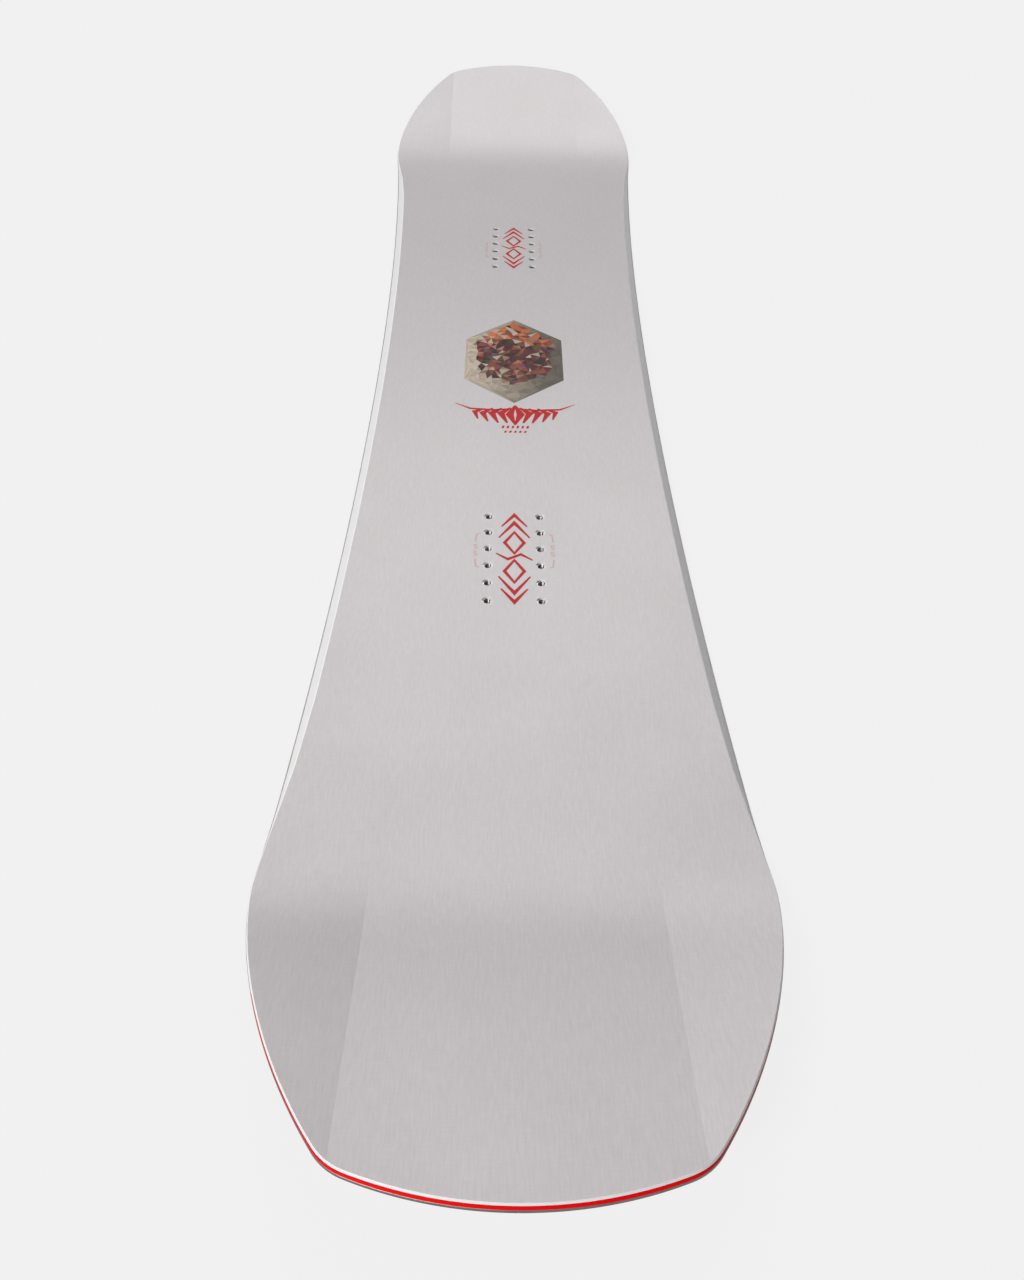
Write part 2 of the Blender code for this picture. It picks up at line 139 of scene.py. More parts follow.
@dataclass(frozen=True)
class BoardShape:
    """Outline, mould and layer heights of the board."""

    flat_length: float = 1550 * MM
    waist_width: float = 255 * MM
    sidecut_radius: float = 7200 * MM
    ease_length: float = 60 * MM
    tip_length: float = 205 * MM
    tip_arc_radius: float = 195 * MM
    corner_radius: float = 35 * MM
    corner_start: float = math.radians(22.7)
    corner_end: float = math.radians(56)
    shoulder_handle: float = 30 * MM
    corner_handle: float = 87 * MM
    camber: float = 5 * MM
    bend_radius: float = 100 * MM
    kick: float = math.radians(14.5)
    crease: float = 83 * MM
    crease_blend: float = 1.5 * MM
    lift_slope: float = math.tan(math.radians(1.5))
    lift_lead: float = 50 * MM
    lift_length: float = 110 * MM
    waist_thickness: float = 9.0 * MM
    tip_thickness: float = 4.4 * MM
    taper_length: float = 120 * MM
    bond: float = 0.15 * MM
    base: float = 1.2 * MM
    glass: float = 0.4 * MM
    topsheet: float = 0.4 * MM
    damper: float = 0.25 * MM
    side_reveal: float = 0.65 * MM
    side_run: float = 1.0
    tip_reveal: float = 0.16 * MM
    tip_run: float = 0.12
    tip_top_run: float = 0.6
    front_run: float = 0.56
    front_start: float = 735 * MM
    front_length: float = 34 * MM
    fade_start: float = 484 * MM
    bevel_fade: float = 74 * MM
    tip_fill: float = 75 * MM
    core_splay: float = 0.85

    @property
    def widest(self) -> float:
        """Distance from the waist to either widest line."""
        return self.flat_length / 2 - self.tip_length

    @property
    def contact(self) -> float:
        """Distance from the waist to either contact line."""
        return self.widest - self.bend_radius * self.kick

    @property
    def edge_height(self) -> float:
        """Top of the steel edge."""
        return self.base + self.bond + self.glass

    @property
    def core_bottom(self) -> float:
        """Underside of the core and of the tip fills."""
        return self.edge_height + self.bond

    def profile(self, s: np.ndarray) -> tuple[np.ndarray, np.ndarray, np.ndarray]:
        """Running surface on the centre line.

        Args:
            s: Distances along the board.

        Returns:
            The y, the z and the slope angle at each distance.
        """
        side, u = np.sign(s), np.abs(s)
        ratio = np.minimum(u, self.contact) / self.contact
        camber_slope = -4 * self.camber * ratio * (1 - ratio**2) / self.contact
        angle = np.clip((u - self.contact) / self.bend_radius, 0.0, self.kick)
        straight = np.maximum(u - self.widest, 0.0)
        y = np.minimum(u, self.contact) + self.bend_radius * np.sin(angle) + straight * np.cos(angle)
        z = self.camber * (1 - ratio**2) ** 2
        z = z + self.bend_radius * (1 - np.cos(angle)) + straight * np.sin(angle)
        return side * y, z, side * (angle + np.arctan(camber_slope))

    def place(self, s: np.ndarray, x: np.ndarray, h: np.ndarray) -> np.ndarray:
        """Pressed positions of flat points.

        Args:
            s: Distances along the board.
            x: Distances across it.
            h: Heights above the running surface.

        Returns:
            One row of x, y, z for each point.
        """
        s, x, h = np.broadcast_arrays(np.asarray(s, float), np.asarray(x, float), np.asarray(h, float))
        y, z, slope = self.profile(s)
        growth = smooth_step((np.abs(s) - self.widest + self.lift_lead) / self.lift_length)
        height = h + growth * self.lift_slope * np.maximum(np.abs(x) - self.crease, 0.0)
        return np.stack([x, y - np.sin(slope) * height, z + np.cos(slope) * height], axis=-1)

    def top(self, s: np.ndarray) -> np.ndarray:
        """Height of the topsheet's upper face."""
        taper = np.clip((np.abs(s) - self.contact + self.taper_length) / self.taper_length, 0.0, 1.0)
        return between(self.waist_thickness, self.tip_thickness, taper)

    def fill_top(self, s: np.ndarray) -> np.ndarray:
        """Height of the core, the sidewalls and the tip fills, under the top laminate."""
        return self.top(s) - (self.topsheet + self.glass + 2 * self.bond)

    def below_top(self, depth: float) -> Height:
        """Height function that lies a depth under the topsheet's upper face."""
        return lambda s: self.top(s) - depth

    def level(self, h: float) -> Height:
        """Height function that is the same all along the board."""
        return lambda s: np.full_like(np.asarray(s, float), h)

    def arc(self, s: float) -> float:
        """Half width on the sidecut's arc."""
        return self.waist_width / 2 + s**2 / (2 * self.sidecut_radius)

    def sidecut(self, s: float) -> float:
        """Half width between the widest lines, which turns parallel as it reaches them.

        Args:
            s: Distance along the board.

        Returns:
            The half width.
        """
        start = self.widest - self.ease_length
        if abs(s) <= start:
            return self.arc(s)
        handle = start / self.sidecut_radius * self.ease_length / 3
        low, high = self.arc(start), self.arc(self.widest)
        return cubic((low, low + handle, high, high), (abs(s) - start) / self.ease_length)

    def bevel(self, s: np.ndarray, h: np.ndarray) -> np.ndarray:
        """How far the bevelled side lies inside the steel's outer line.

        Args:
            s: Distances along the board.
            h: Height on the side at each distance.

        Returns:
            The inset at each distance.
        """
        fade = np.clip((np.abs(s) - self.fade_start) / self.bevel_fade, 0.0, 1.0)
        front = smooth_step((np.abs(s) - self.front_start) / self.front_length)
        rise = h - self.edge_height
        top_rise = np.maximum(h - self.fill_top(s), 0.0)
        fill_run = between(self.tip_run, self.front_run, front)
        top_run = between(self.tip_top_run, self.front_run, front)
        side = self.side_run * rise
        tip = fill_run * (rise - top_rise) + top_run * top_rise
        return between(self.side_reveal, self.tip_reveal, fade) + side + (tip - side) * fade

    def side_inset(self, height: Height) -> Height:
        """Inset function of the bevelled side at a height function."""
        return lambda s: self.bevel(s, height(s))

    def core_end(self, x: np.ndarray) -> np.ndarray:
        """Distance at which the core ends: square between the creases, splayed outside them."""
        outside = np.maximum(np.abs(x) - self.crease, 0.0)
        return self.flat_length / 2 - self.tip_fill - outside * self.core_splay

    def columns(self, inner: Sequence[float], outer: Sequence[float]) -> list[float]:
        """Distances of mesh columns from the centre line, three of them tight over the crease."""
        near, far = self.crease - self.crease_blend, self.crease + self.crease_blend
        return [0.0, *inner, near, self.crease, far, *outer]


@dataclass
class Outline:
    """The right-hand half outline, finely stepped.

    It starts and ends a share of a step short of the centre lines, so that its mirror image follows evenly.
    """

    shape: BoardShape
    running_step: float = 8 * MM
    bend_steps: int = 12
    shoulder_steps: int = 32
    corner_steps: int = 14
    arc_steps: int = 22
    waist_share: float = 0.5
    tip_share: float = 0.25
    probe: float = 1e-4
    points: np.ndarray = field(init=False)
    outward: np.ndarray = field(init=False)

    def __post_init__(self) -> None:
        """Draw the outline once."""
        pairs = self.running() + self.tip()
        self.points, self.outward = (np.array(column) for column in zip(*pairs))

    def running(self) -> list[tuple[Pair, Pair]]:
        """Draw the sidecut up to the widest line.

        Returns:
            Each point with its outward direction.
        """
        shape = self.shape
        count, bend = round(shape.contact / self.running_step), shape.widest - shape.contact
        steps = [k + self.waist_share for k in range(count + 1)]
        stations = [shape.contact * step / (count + self.waist_share) for step in steps]
        stations += [shape.contact + bend * k / self.bend_steps for k in range(1, self.bend_steps)]
        return [((s, shape.sidecut(s)), (0.0, 1.0)) for s in stations]

    def tip(self) -> list[tuple[Pair, Pair]]:
        """Draw the shoulder, the corner and the tip's arc.

        Returns:
            Each point with its outward direction.
        """
        shape = self.shape
        arc_centre = Vector((shape.flat_length / 2 - shape.tip_arc_radius, 0))
        offset = shape.tip_arc_radius - shape.corner_radius
        corner_centre = arc_centre + heading(shape.corner_start) * offset
        corner_out = heading(shape.corner_end)
        corner_point = corner_centre + corner_out * shape.corner_radius
        start = Vector((shape.widest, shape.sidecut(shape.widest)))
        controls = (
            start,
            start + Vector((shape.shoulder_handle, 0)),
            corner_point + sideways(corner_out) * shape.corner_handle,
            corner_point,
        )
        found = []
        for t in (k / self.shoulder_steps for k in range(self.shoulder_steps)):
            step = cubic(controls, t + self.probe) - cubic(controls, t)
            found.append((cubic(controls, t)[:], sideways(step).normalized()[:]))
        turn = shape.corner_start - shape.corner_end
        angles = [shape.corner_end + turn * k / self.corner_steps for k in range(self.corner_steps + 1)]
        rounds = [(corner_centre, shape.corner_radius, angle) for angle in angles]
        for k in reversed(range(self.arc_steps)):
            angle = shape.corner_start * (k + self.tip_share) / (self.arc_steps + self.tip_share)
            rounds.append((arc_centre, shape.tip_arc_radius, angle))
        for centre, radius, angle in rounds:
            out = heading(angle)
            found.append(((centre + out * radius)[:], out[:]))
        return found

    def half_rail(self, inset: Height) -> np.ndarray:
        """The half outline moved inwards by an inset function, one row of s, x a point."""
        return self.points - self.outward * inset(self.points[:, 0])[:, None]

    def whole_rail(self, inset: Height) -> np.ndarray:
        """The right-hand rail from the nose end to the tail end."""
        return mirrored(self.half_rail(inset))

    def split_at_core_end(self, rail: np.ndarray, gap: float) -> tuple[np.ndarray, np.ndarray]:
        """Cut a half rail at the core's end line.

        Args:
            rail: The half rail.
            gap: How far beyond the core's end the cut lies.

        Returns:
            The parts before and after the cut, both with the point where they meet.
        """
        past = rail[:, 0] - self.shape.core_end(rail[:, 1]) - gap
        after = int(np.argmax(past > 0))
        t = past[after - 1] / (past[after - 1] - past[after])
        meeting = rail[after - 1] + (rail[after] - rail[after - 1]) * t
        return np.vstack([rail[:after], meeting]), np.vstack([meeting, rail[after:]])


def mirrored(rail: np.ndarray) -> np.ndarray:
    """A half rail joined with its mirror image at the other end of the board."""
    return np.vstack([rail[::-1] * (-1, 1), rail])


def signed(rail: np.ndarray, side: int) -> np.ndarray:
    """A rail on the right-hand side (1) or the left-hand side (-1)."""
    return rail * (1, side)


def evened(rails: list[np.ndarray], at_start: bool) -> list[np.ndarray]:
    """Bring rails to one length.

    Args:
        rails: The rails.
        at_start: True to repeat their first points, False to repeat their last.

    Returns:
        The rails, as long as the longest.
    """
    longest = max(len(rail) for rail in rails)
    grown = []
    for rail in rails:
        pad = np.repeat(rail[:1] if at_start else rail[-1:], longest - len(rail), axis=0)
        grown.append(np.vstack([pad, rail] if at_start else [rail, pad]))
    return grown


def across(rail: np.ndarray, columns: Sequence[float]) -> list[np.ndarray]:
    """Rails from the left rim through the columns, each held inside the rim, to the given right rim."""
    outward = [np.stack([rail[:, 0], np.minimum(rail[:, 1], x)], axis=1) for x in columns] + [rail]
    return [signed(r, -1) for r in reversed(outward[1:])] + outward


def tube(count: int, width: int, closed: bool = False, start: int = 0) -> Faces:
    """Faces between rings of points that are numbered ring after ring.

    Args:
        count: How many rings there are.
        width: How many points a ring has.
        closed: True to join the last ring to the first, False to cap both.
        start: Number of the first point.

    Returns:
        The faces.
    """
    faces = []
    for i in range(count if closed else count - 1):
        a, b = start + i * width, start + (i + 1) % count * width
        faces += [(a + k, a + (k + 1) % width, b + (k + 1) % width, b + k) for k in range(width)]
    if not closed:
        last = start + (count - 1) * width
        faces += [tuple(range(start, start + width)), tuple(range(last, last + width))]
    return faces


class Workshop:
    """Turns sections and outlines into named meshes that ride on the board."""

    MERGE = 1e-7
    SHARP = 24.0

    def __init__(self, shape: BoardShape) -> None:
        """Keep the shape and open a collection for the pieces.

        Args:
            shape: The board whose mould places every point.
        """
        self.shape = shape
        self.collection = bpy.data.collections.new("snowboard_looks")
        bpy.context.scene.collection.children.link(self.collection)

    def loft(self, name: str, section: Section, sharp: float = SHARP) -> Thing:
        """Closed solid skinned along the board.

        Args:
            name: Name of the object.
            section: Corners of the section in order, each a rail and a height function.
            sharp: Angle in degrees above which an edge stays sharp.

        Returns:
            The new object.
        """
        sides = [self.shape.place(rail[:, 0], rail[:, 1], height(rail[:, 0])) for rail, height in section]
        rings = np.stack(sides, axis=1)
        return self.solid(name, rings.reshape(-1, 3), tube(*rings.shape[:2]), sharp)

    def solid(self, name: str, points: np.ndarray, faces: Faces, sharp: float = SHARP) -> Thing:
        """Mesh object, with doubles merged and normals turned outwards.

        Args:
            name: Name of the object.
            points: One row of x, y, z a point.
            faces: Its faces.
            sharp: Angle in degrees above which an edge stays sharp.

        Returns:
            The new object.
        """
        mesh = bpy.data.meshes.new(name)
        mesh.from_pydata([tuple(point) for point in points], [], faces)
        bm = bmesh.new()
        bm.from_mesh(mesh)
        bmesh.ops.remove_doubles(bm, verts=bm.verts, dist=self.MERGE)
        bmesh.ops.dissolve_degenerate(bm, edges=bm.edges, dist=self.MERGE)
        bmesh.ops.recalc_face_normals(bm, faces=bm.faces)
        bm.to_mesh(mesh)
        bm.free()
        mesh.shade_smooth()
        mesh.set_sharp_from_angle(angle=math.radians(sharp))
        return self.show(name, mesh)

    def show(self, name: str, mesh: bpy.types.Mesh) -> Thing:
        """Put a mesh among the pieces.

        Args:
            name: Name of the object.
            mesh: Its mesh.

        Returns:
            The new object.
        """
        made = bpy.data.objects.new(name, mesh)
        self.collection.objects.link(made)
        return made

    def fit(self, piece: Thing, finish: Material, slot: str, *nodes: str) -> None:
        """Dress a piece, let it ride on the board and stand for its solids.

        Args:
            piece: The piece.
            finish: Its material, if it has none yet.
            slot: The record's material slot; not used.
            nodes: Names of the solids that it stands for.
        """
        if not piece.data.materials:
            piece.data.materials.append(finish)
        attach(piece, "root")
        if nodes:
            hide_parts(*nodes)
        LOG.info("%s: %d faces, for %s", piece.name, len(piece.data.polygons), ", ".join(nodes) or "no solid")


def emptied(owner: Union[Material, bpy.types.World]) -> Tree:
    """Shader tree of a material or a world, with nothing in it.

    Args:
        owner: The material or the world.

    Returns:
        Its tree.
    """
    owner.use_nodes = True
    owner.node_tree.nodes.clear()
    return owner.node_tree


class Nodes:
    """Adds shader nodes to one tree and joins them up."""

    MIX_LOW, MIX_HIGH, MIX_COLOUR = 6, 7, 2

    def __init__(self, tree: Tree) -> None:
        """Keep the tree."""
        self.tree = tree

    def add(self, kind: str, feeds: Optional[dict] = None, **settings: object) -> bpy.types.Node:
        """One node with its settings and inputs.

        Args:
            kind: Type name of the node without its ShaderNode prefix.
            feeds: Input name or number to the value or the socket that feeds it.
            settings: Properties of the node.

        Returns:
            The new node.
        """
        node = self.tree.nodes.new("ShaderNode" + kind)
        for key, value in settings.items():
            setattr(node, key, value)
        for key, value in (feeds or {}).items():
            if isinstance(value, Socket):
                self.tree.links.new(value, node.inputs[key])
            else:
                node.inputs[key].default_value = value
        return node

    def maths(self, operation: str, *values: Union[float, Socket], clamp: bool = False) -> Socket:
        """Result of one Math node."""
        return self.add("Math", dict(enumerate(values)), operation=operation, use_clamp=clamp).outputs[0]

    def split(self, vector: Socket) -> tuple[Socket, Socket, Socket]:
        """X, Y and Z of a vector."""
        return tuple(self.add("SeparateXYZ", {0: vector}).outputs)

    def join(self, *parts: Union[float, Socket]) -> Socket:
        """Vector of three numbers."""
        return self.add("CombineXYZ", dict(enumerate(parts))).outputs[0]

    def noise(self, vector: Socket, scale: Union[float, Socket], detail: float, rough: float = 0.5) -> Socket:
        """Noise value over a vector."""
        feeds = {"Vector": vector, "Scale": scale, "Detail": detail, "Roughness": rough}
        return self.add("TexNoise", feeds).outputs[0]

    def span(self, value: Socket, source: Pair, target: Pair) -> Socket:
        """A value mapped from one range to another and held inside it."""
        return self.add("MapRange", dict(enumerate((value, *source, *target)))).outputs[0]

    def tint(self, factor: Socket, low: Colour, high: Colour) -> Socket:
        """Colour between two others."""
        feeds = {0: factor, self.MIX_LOW: (*low, 1.0), self.MIX_HIGH: (*high, 1.0)}
        return self.add("Mix", feeds, data_type="RGBA").outputs[self.MIX_COLOUR]


class Effect(Nodes):
    """A node group being drawn, which takes a Vector and some numbers."""

    def __init__(self, name: str, gives: Sequence[str], **takes: float) -> None:
        """Open the group.

        Args:
            name: Name of the group.
            gives: Names of the numbers that it puts out.
            takes: Name and default of each number that it takes.
        """
        super().__init__(bpy.data.node_groups.new(name, "ShaderNodeTree"))
        face = self.tree.interface
        face.new_socket("Vector", in_out="INPUT", socket_type="NodeSocketVector")
        for key, value in takes.items():
            face.new_socket(key, in_out="INPUT", socket_type="NodeSocketFloat").default_value = value
        for key in gives:
            face.new_socket(key, in_out="OUTPUT", socket_type="NodeSocketFloat")
        self.given = self.tree.nodes.new("NodeGroupInput").outputs
        self.results = self.tree.nodes.new("NodeGroupOutput").inputs

    def give(self, *sockets: Socket) -> Tree:
        """Put sockets out in the group's order.

        Args:
            sockets: One socket for each number that the group gives.

        Returns:
            The finished group.
        """
        for socket, result in zip(sockets, self.results):
            self.tree.links.new(socket, result)
        return self.tree


class Effects:
    """Node groups that several finishes share, each drawn once."""

    def __init__(self) -> None:
        """Draw every group."""
        self.weave = self.draw_weave()
        self.smudges = self.draw_smudges()
        self.scratches = self.draw_scratches()
        self.grain = self.draw_grain()

    @staticmethod
    def draw_weave() -> Tree:
        """Draw the fine cloth that shows through a clear sheet.

        Returns:
            The group: Tone is 0 to 1 thread by thread, Height the threads' crossings.
        """
        cloth = Effect("woven_cloth", ("Tone", "Height"), Thread=0.9 * MM, Run=9 * MM)
        x, y, _ = cloth.split(cloth.given["Vector"])
        tones, waves = [], []
        for fine, long, offset, share in ((x, y, 3.7, 1.0), (y, x, 9.1, 0.5)):
            short = cloth.maths("DIVIDE", fine, cloth.given["Thread"])
            far = cloth.maths("DIVIDE", long, cloth.given["Run"])
            tone = cloth.noise(cloth.join(short, far, offset), scale=1.0, detail=2.0)
            tones.append(cloth.maths("MULTIPLY_ADD", tone, share, (1 - share) / 2))
            waves.append(cloth.maths("SINE", cloth.maths("MULTIPLY", short, math.tau)))
        tone = cloth.maths("MULTIPLY", cloth.maths("ADD", *tones), 0.5)
        crossing = cloth.maths("MULTIPLY", cloth.maths("MULTIPLY", *waves), 0.25)
        return cloth.give(tone, cloth.maths("ADD", crossing, tone))

    @staticmethod
    def draw_smudges() -> Tree:
        """Draw faint cloudy handling marks.

        Returns:
            The group: Value is 0 to 1, in clouds about as wide as Size.
        """
        marks = Effect("handling_smudges", ("Value",), Size=60 * MM)
        scale = marks.maths("DIVIDE", 1.0, marks.given["Size"])
        cloud = marks.noise(marks.given["Vector"], scale, detail=4.0, rough=0.6)
        return marks.give(marks.span(cloud, source=(0.3, 0.7), target=UNIT))

    @staticmethod
    def draw_scratches() -> Tree:
        """Draw fine straight marks that run along the board.

        Returns:
            The group: Mask is their strength, Height their depth.
        """
        marks = Effect("fine_marks", ("Mask", "Height"), Width=0.4 * MM, Length=60 * MM, Cover=0.35)
        x, y, z = marks.split(marks.given["Vector"])
        parts = zip((x, y, z), ("Width", "Length", "Width"))
        place = marks.join(*(marks.maths("DIVIDE", part, marks.given[size]) for part, size in parts))
        streak = marks.noise(place, scale=1.0, detail=3.0, rough=0.55)
        bare, opened, contrast = 0.8, 0.5, 6.0
        start = marks.maths("SUBTRACT", bare, marks.maths("MULTIPLY", marks.given["Cover"], opened))
        lifted = marks.maths("SUBTRACT", streak, start)
        return marks.give(marks.maths("MULTIPLY", lifted, contrast, clamp=True), streak)

    @staticmethod
    def draw_grain() -> Tree:
        """Draw wood cut along its length.

        Returns:
            The group: Tone follows the rings, which are Ring wide, and Pores the short dark pores.
        """
        wood = Effect("wood_grain", ("Tone", "Pores"), Ring=4 * MM)
        x, y, z = wood.split(wood.given["Vector"])
        stretch, wander = 14.0, 9.0
        place = wood.join(x, wood.maths("DIVIDE", y, stretch), z)
        bent = wood.noise(place, scale=60.0, detail=3.0)
        rings = wood.maths("MULTIPLY", wood.maths("DIVIDE", x, wood.given["Ring"]), math.tau)
        wave = wood.maths("SINE", wood.maths("MULTIPLY_ADD", bent, wander, rings))
        pores = wood.span(wood.noise(place, scale=1500.0, detail=1.0), source=(0.6, 0.75), target=UNIT)
        return wood.give(wood.maths("MULTIPLY_ADD", wave, 0.5, 0.5), pores)


class Mixer(Nodes):
    """A material being mixed: an object-space vector, a Principled shader and the groups that feed it."""

    def __init__(self, name: str, **constants: float) -> None:
        """Open the material.

        Args:
            name: Name of the material.
            constants: Values set straight on the shader's sockets, spelt with underscores.
        """
        self.material = bpy.data.materials.new(name)
        super().__init__(emptied(self.material))
        self.shader = self.add("BsdfPrincipled")
        self.add("OutputMaterial", {"Surface": self.shader.outputs[0]}, is_active_output=True)
        self.vector = self.add("TexCoord").outputs["Object"]
        for key, value in constants.items():
            self.shader.inputs[key.replace("_", " ")].default_value = value

    def group(self, tree: Tree, **values: float) -> dict[str, Socket]:
        """Place a shared effect with its own values and hand out what it gives."""
        node = self.add("Group", {"Vector": self.vector, **values}, node_tree=tree)
        return {socket.name: socket for socket in node.outputs}

    def finish(self, colour: Socket, roughness: Socket, height: Socket, depth: float) -> Material:
        """Join what varies over the surface to the shader.

        Args:
            colour: Its base colour.
            roughness: Its roughness.
            height: Its height map.
            depth: How deep that map is.

        Returns:
            The material.
        """
        bump = self.add("Bump", {"Height": height, "Distance": depth, "Strength": 1.0}).outputs[0]
        for key, socket in (("Base Color", colour), ("Roughness", roughness), ("Normal", bump)):
            self.tree.links.new(socket, self.shader.inputs[key])
        return self.material


@dataclass(frozen=True)
class Finish:
    """What every finish has: the shared effects and the name of its material."""

    effects: Effects
    name: str


@dataclass(frozen=True)
class Pictured(Finish):
    """Printed picture over the topsheet's faint cloth, whose facets carry their own colours."""

    SHADES = (0.86, 1.08)
    ROUGHNESS = (0.33, 0.39)
    RELIEF = 0.004 * MM
    sheen: float

    def colour(self, made: Mixer, tone: Socket) -> Socket:
        """Let the threads lighten and darken each facet's colour.

        Args:
            made: The material being mixed.
            tone: The threads' tone.

        Returns:
            The colour.
        """
        facet = made.add("Attribute", attribute_name="ink", attribute_type="GEOMETRY").outputs["Color"]
        feeds = {0: facet, "Scale": made.span(tone, THREADS, self.SHADES)}
        return made.add("VectorMath", feeds, operation="SCALE").outputs[0]

    def mix(self) -> Material:
        """Mix the material.

        Returns:
            The material.
        """
        made = Mixer(self.name, Specular_IOR_Level=self.sheen)
        weave, smudges = made.group(self.effects.weave), made.group(self.effects.smudges)
        roughness = made.span(smudges["Value"], UNIT, self.ROUGHNESS)
        return made.finish(self.colour(made, weave["Tone"]), roughness, weave["Height"], self.RELIEF)


@dataclass(frozen=True)
class Woven(Pictured):
    """Satin plastic or ink with the topsheet's faint cloth in it, from its palest threads to its darkest."""

    light: Colour
    dark: Colour

    def colour(self, made: Mixer, tone: Socket) -> Socket:
        """Colour between the two by the threads' tone."""
        return made.tint(made.span(tone, THREADS, UNIT), self.dark, self.light)


@dataclass(frozen=True)
class Moulded(Finish):
    """Sawn or moulded plastic and rubber with fine cutting marks, duller where it is handled."""

    SMUDGE_SHARE = 0.35
    MARKS_ROUGHER = 0.15
    RELIEF = 0.01 * MM
    clean: Colour
    soiled: Colour
    roughness: float
    sheen: float = 0.4

    def mix(self) -> Material:
        """Mix the material.

        Returns:
            The material.
        """
        made = Mixer(self.name, Specular_IOR_Level=self.sheen)
        smudges = made.group(self.effects.smudges, Size=25 * MM)
        marks = made.group(self.effects.scratches, Width=0.25 * MM, Length=40 * MM, Cover=0.3)
        dirt = made.maths("MULTIPLY_ADD", smudges["Value"], self.SMUDGE_SHARE, marks["Mask"], clamp=True)
        rough = made.span(marks["Mask"], UNIT, (self.roughness, self.roughness + self.MARKS_ROUGHER))
        return made.finish(made.tint(dirt, self.clean, self.soiled), rough, marks["Height"], self.RELIEF)


@dataclass(frozen=True)
class Laminate(Finish):
    """Glass cloth in clear resin."""

    ROUGHNESS = (0.3, 0.45)
    RELIEF = 0.03 * MM
    low: Colour
    high: Colour

    def mix(self) -> Material:
        """Mix the material.

        Returns:
            The material.
        """
        made = Mixer(self.name)
        weave = made.group(self.effects.weave, Thread=1.6 * MM, Run=12 * MM)
        colour = made.tint(made.span(weave["Tone"], THREADS, UNIT), self.low, self.high)
        rough = made.span(weave["Tone"], THREADS, self.ROUGHNESS)
        return made.finish(colour, rough, weave["Height"], self.RELIEF)


@dataclass(frozen=True)
class Sintered(Finish):
    """Running sheet with its fine stone-ground lines and a few long scratches."""

    SHEEN = 0.45
    GROUND_SHARE = 0.4
    GROUND_ROUGHER = 0.12
    ROUGHNESS = (0.34, 0.44)
    RELIEF = 0.012 * MM
    plain: Colour
    scratched: Colour

    def mix(self) -> Material:
        """Mix the material.

        Returns:
            The material.
        """
        made = Mixer(self.name, Specular_IOR_Level=self.SHEEN)
        ground = made.group(self.effects.scratches, Width=0.35 * MM, Length=45 * MM, Cover=0.6)
        worn = made.group(self.effects.scratches, Width=0.7 * MM, Length=160 * MM, Cover=0.05)
        smudges = made.group(self.effects.smudges, Size=80 * MM)
        tone = made.maths("MULTIPLY_ADD", ground["Mask"], self.GROUND_SHARE, worn["Mask"], clamp=True)
        low = made.span(smudges["Value"], UNIT, self.ROUGHNESS)
        rough = made.maths("MULTIPLY_ADD", ground["Mask"], self.GROUND_ROUGHER, low)
        return made.finish(made.tint(tone, self.plain, self.scratched), rough, ground["Height"], self.RELIEF)


@dataclass(frozen=True)
class GroundSteel(Finish):
    """Edge steel with its grinding marks and duller patches."""

    MARK_SHARE = 0.5
    RELIEF = 0.008 * MM
    dark: Colour
    light: Colour
    roughness: Pair

    def mix(self) -> Material:
        """Mix the material.

        Returns:
            The material.
        """
        made = Mixer(self.name, Metallic=1.0)
        marks = made.group(self.effects.scratches, Width=0.15 * MM, Length=9 * MM, Cover=0.7)
        smudges = made.group(self.effects.smudges, Size=18 * MM)
        tone = made.maths("MULTIPLY_ADD", marks["Mask"], self.MARK_SHARE, smudges["Value"], clamp=True)
        rough = made.span(smudges["Value"], UNIT, self.roughness)
        return made.finish(made.tint(tone, self.dark, self.light), rough, marks["Height"], self.RELIEF)


@dataclass(frozen=True)
class TurnedSteel(Finish):
    """Steel of the inserts with rings left by the lathe, darker where it is greased; made near-black, it is
    the painted shade in the bores.
    """

    PITCH = 0.25 * MM
    RELIEF = 0.004 * MM
    dark: Colour
    light: Colour
    roughness: Pair

    def mix(self) -> Material:
        """Mix the material.

        Returns:
            The material.
        """
        made = Mixer(self.name, Metallic=1.0)
        smudges = made.group(self.effects.smudges, Size=3 * MM)
        ring = made.maths("SINE", made.maths("MULTIPLY", made.split(made.vector)[2], math.tau / self.PITCH))
        rough = made.span(smudges["Value"], UNIT, self.roughness)
        return made.finish(made.tint(smudges["Value"], self.dark, self.light), rough, ring, self.RELIEF)


@dataclass(frozen=True)
class Wood(Finish):
    """Core timber with its year rings and darker pores."""

    SHEEN = 0.3
    PORE_SHARE = 0.6
    ROUGHNESS = (0.7, 0.55)
    RELIEF = 0.05 * MM
    light: Colour
    dark: Colour
    ring: float

    def mix(self) -> Material:
        """Mix the material.

        Returns:
            The material.
        """
        made = Mixer(self.name, Specular_IOR_Level=self.SHEEN)
        grain = made.group(self.effects.grain, Ring=self.ring)
        tone = made.maths("MULTIPLY_ADD", grain["Pores"], self.PORE_SHARE, grain["Tone"], clamp=True)
        rough = made.span(grain["Tone"], UNIT, self.ROUGHNESS)
        return made.finish(made.tint(tone, self.light, self.dark), rough, grain["Tone"], self.RELIEF)


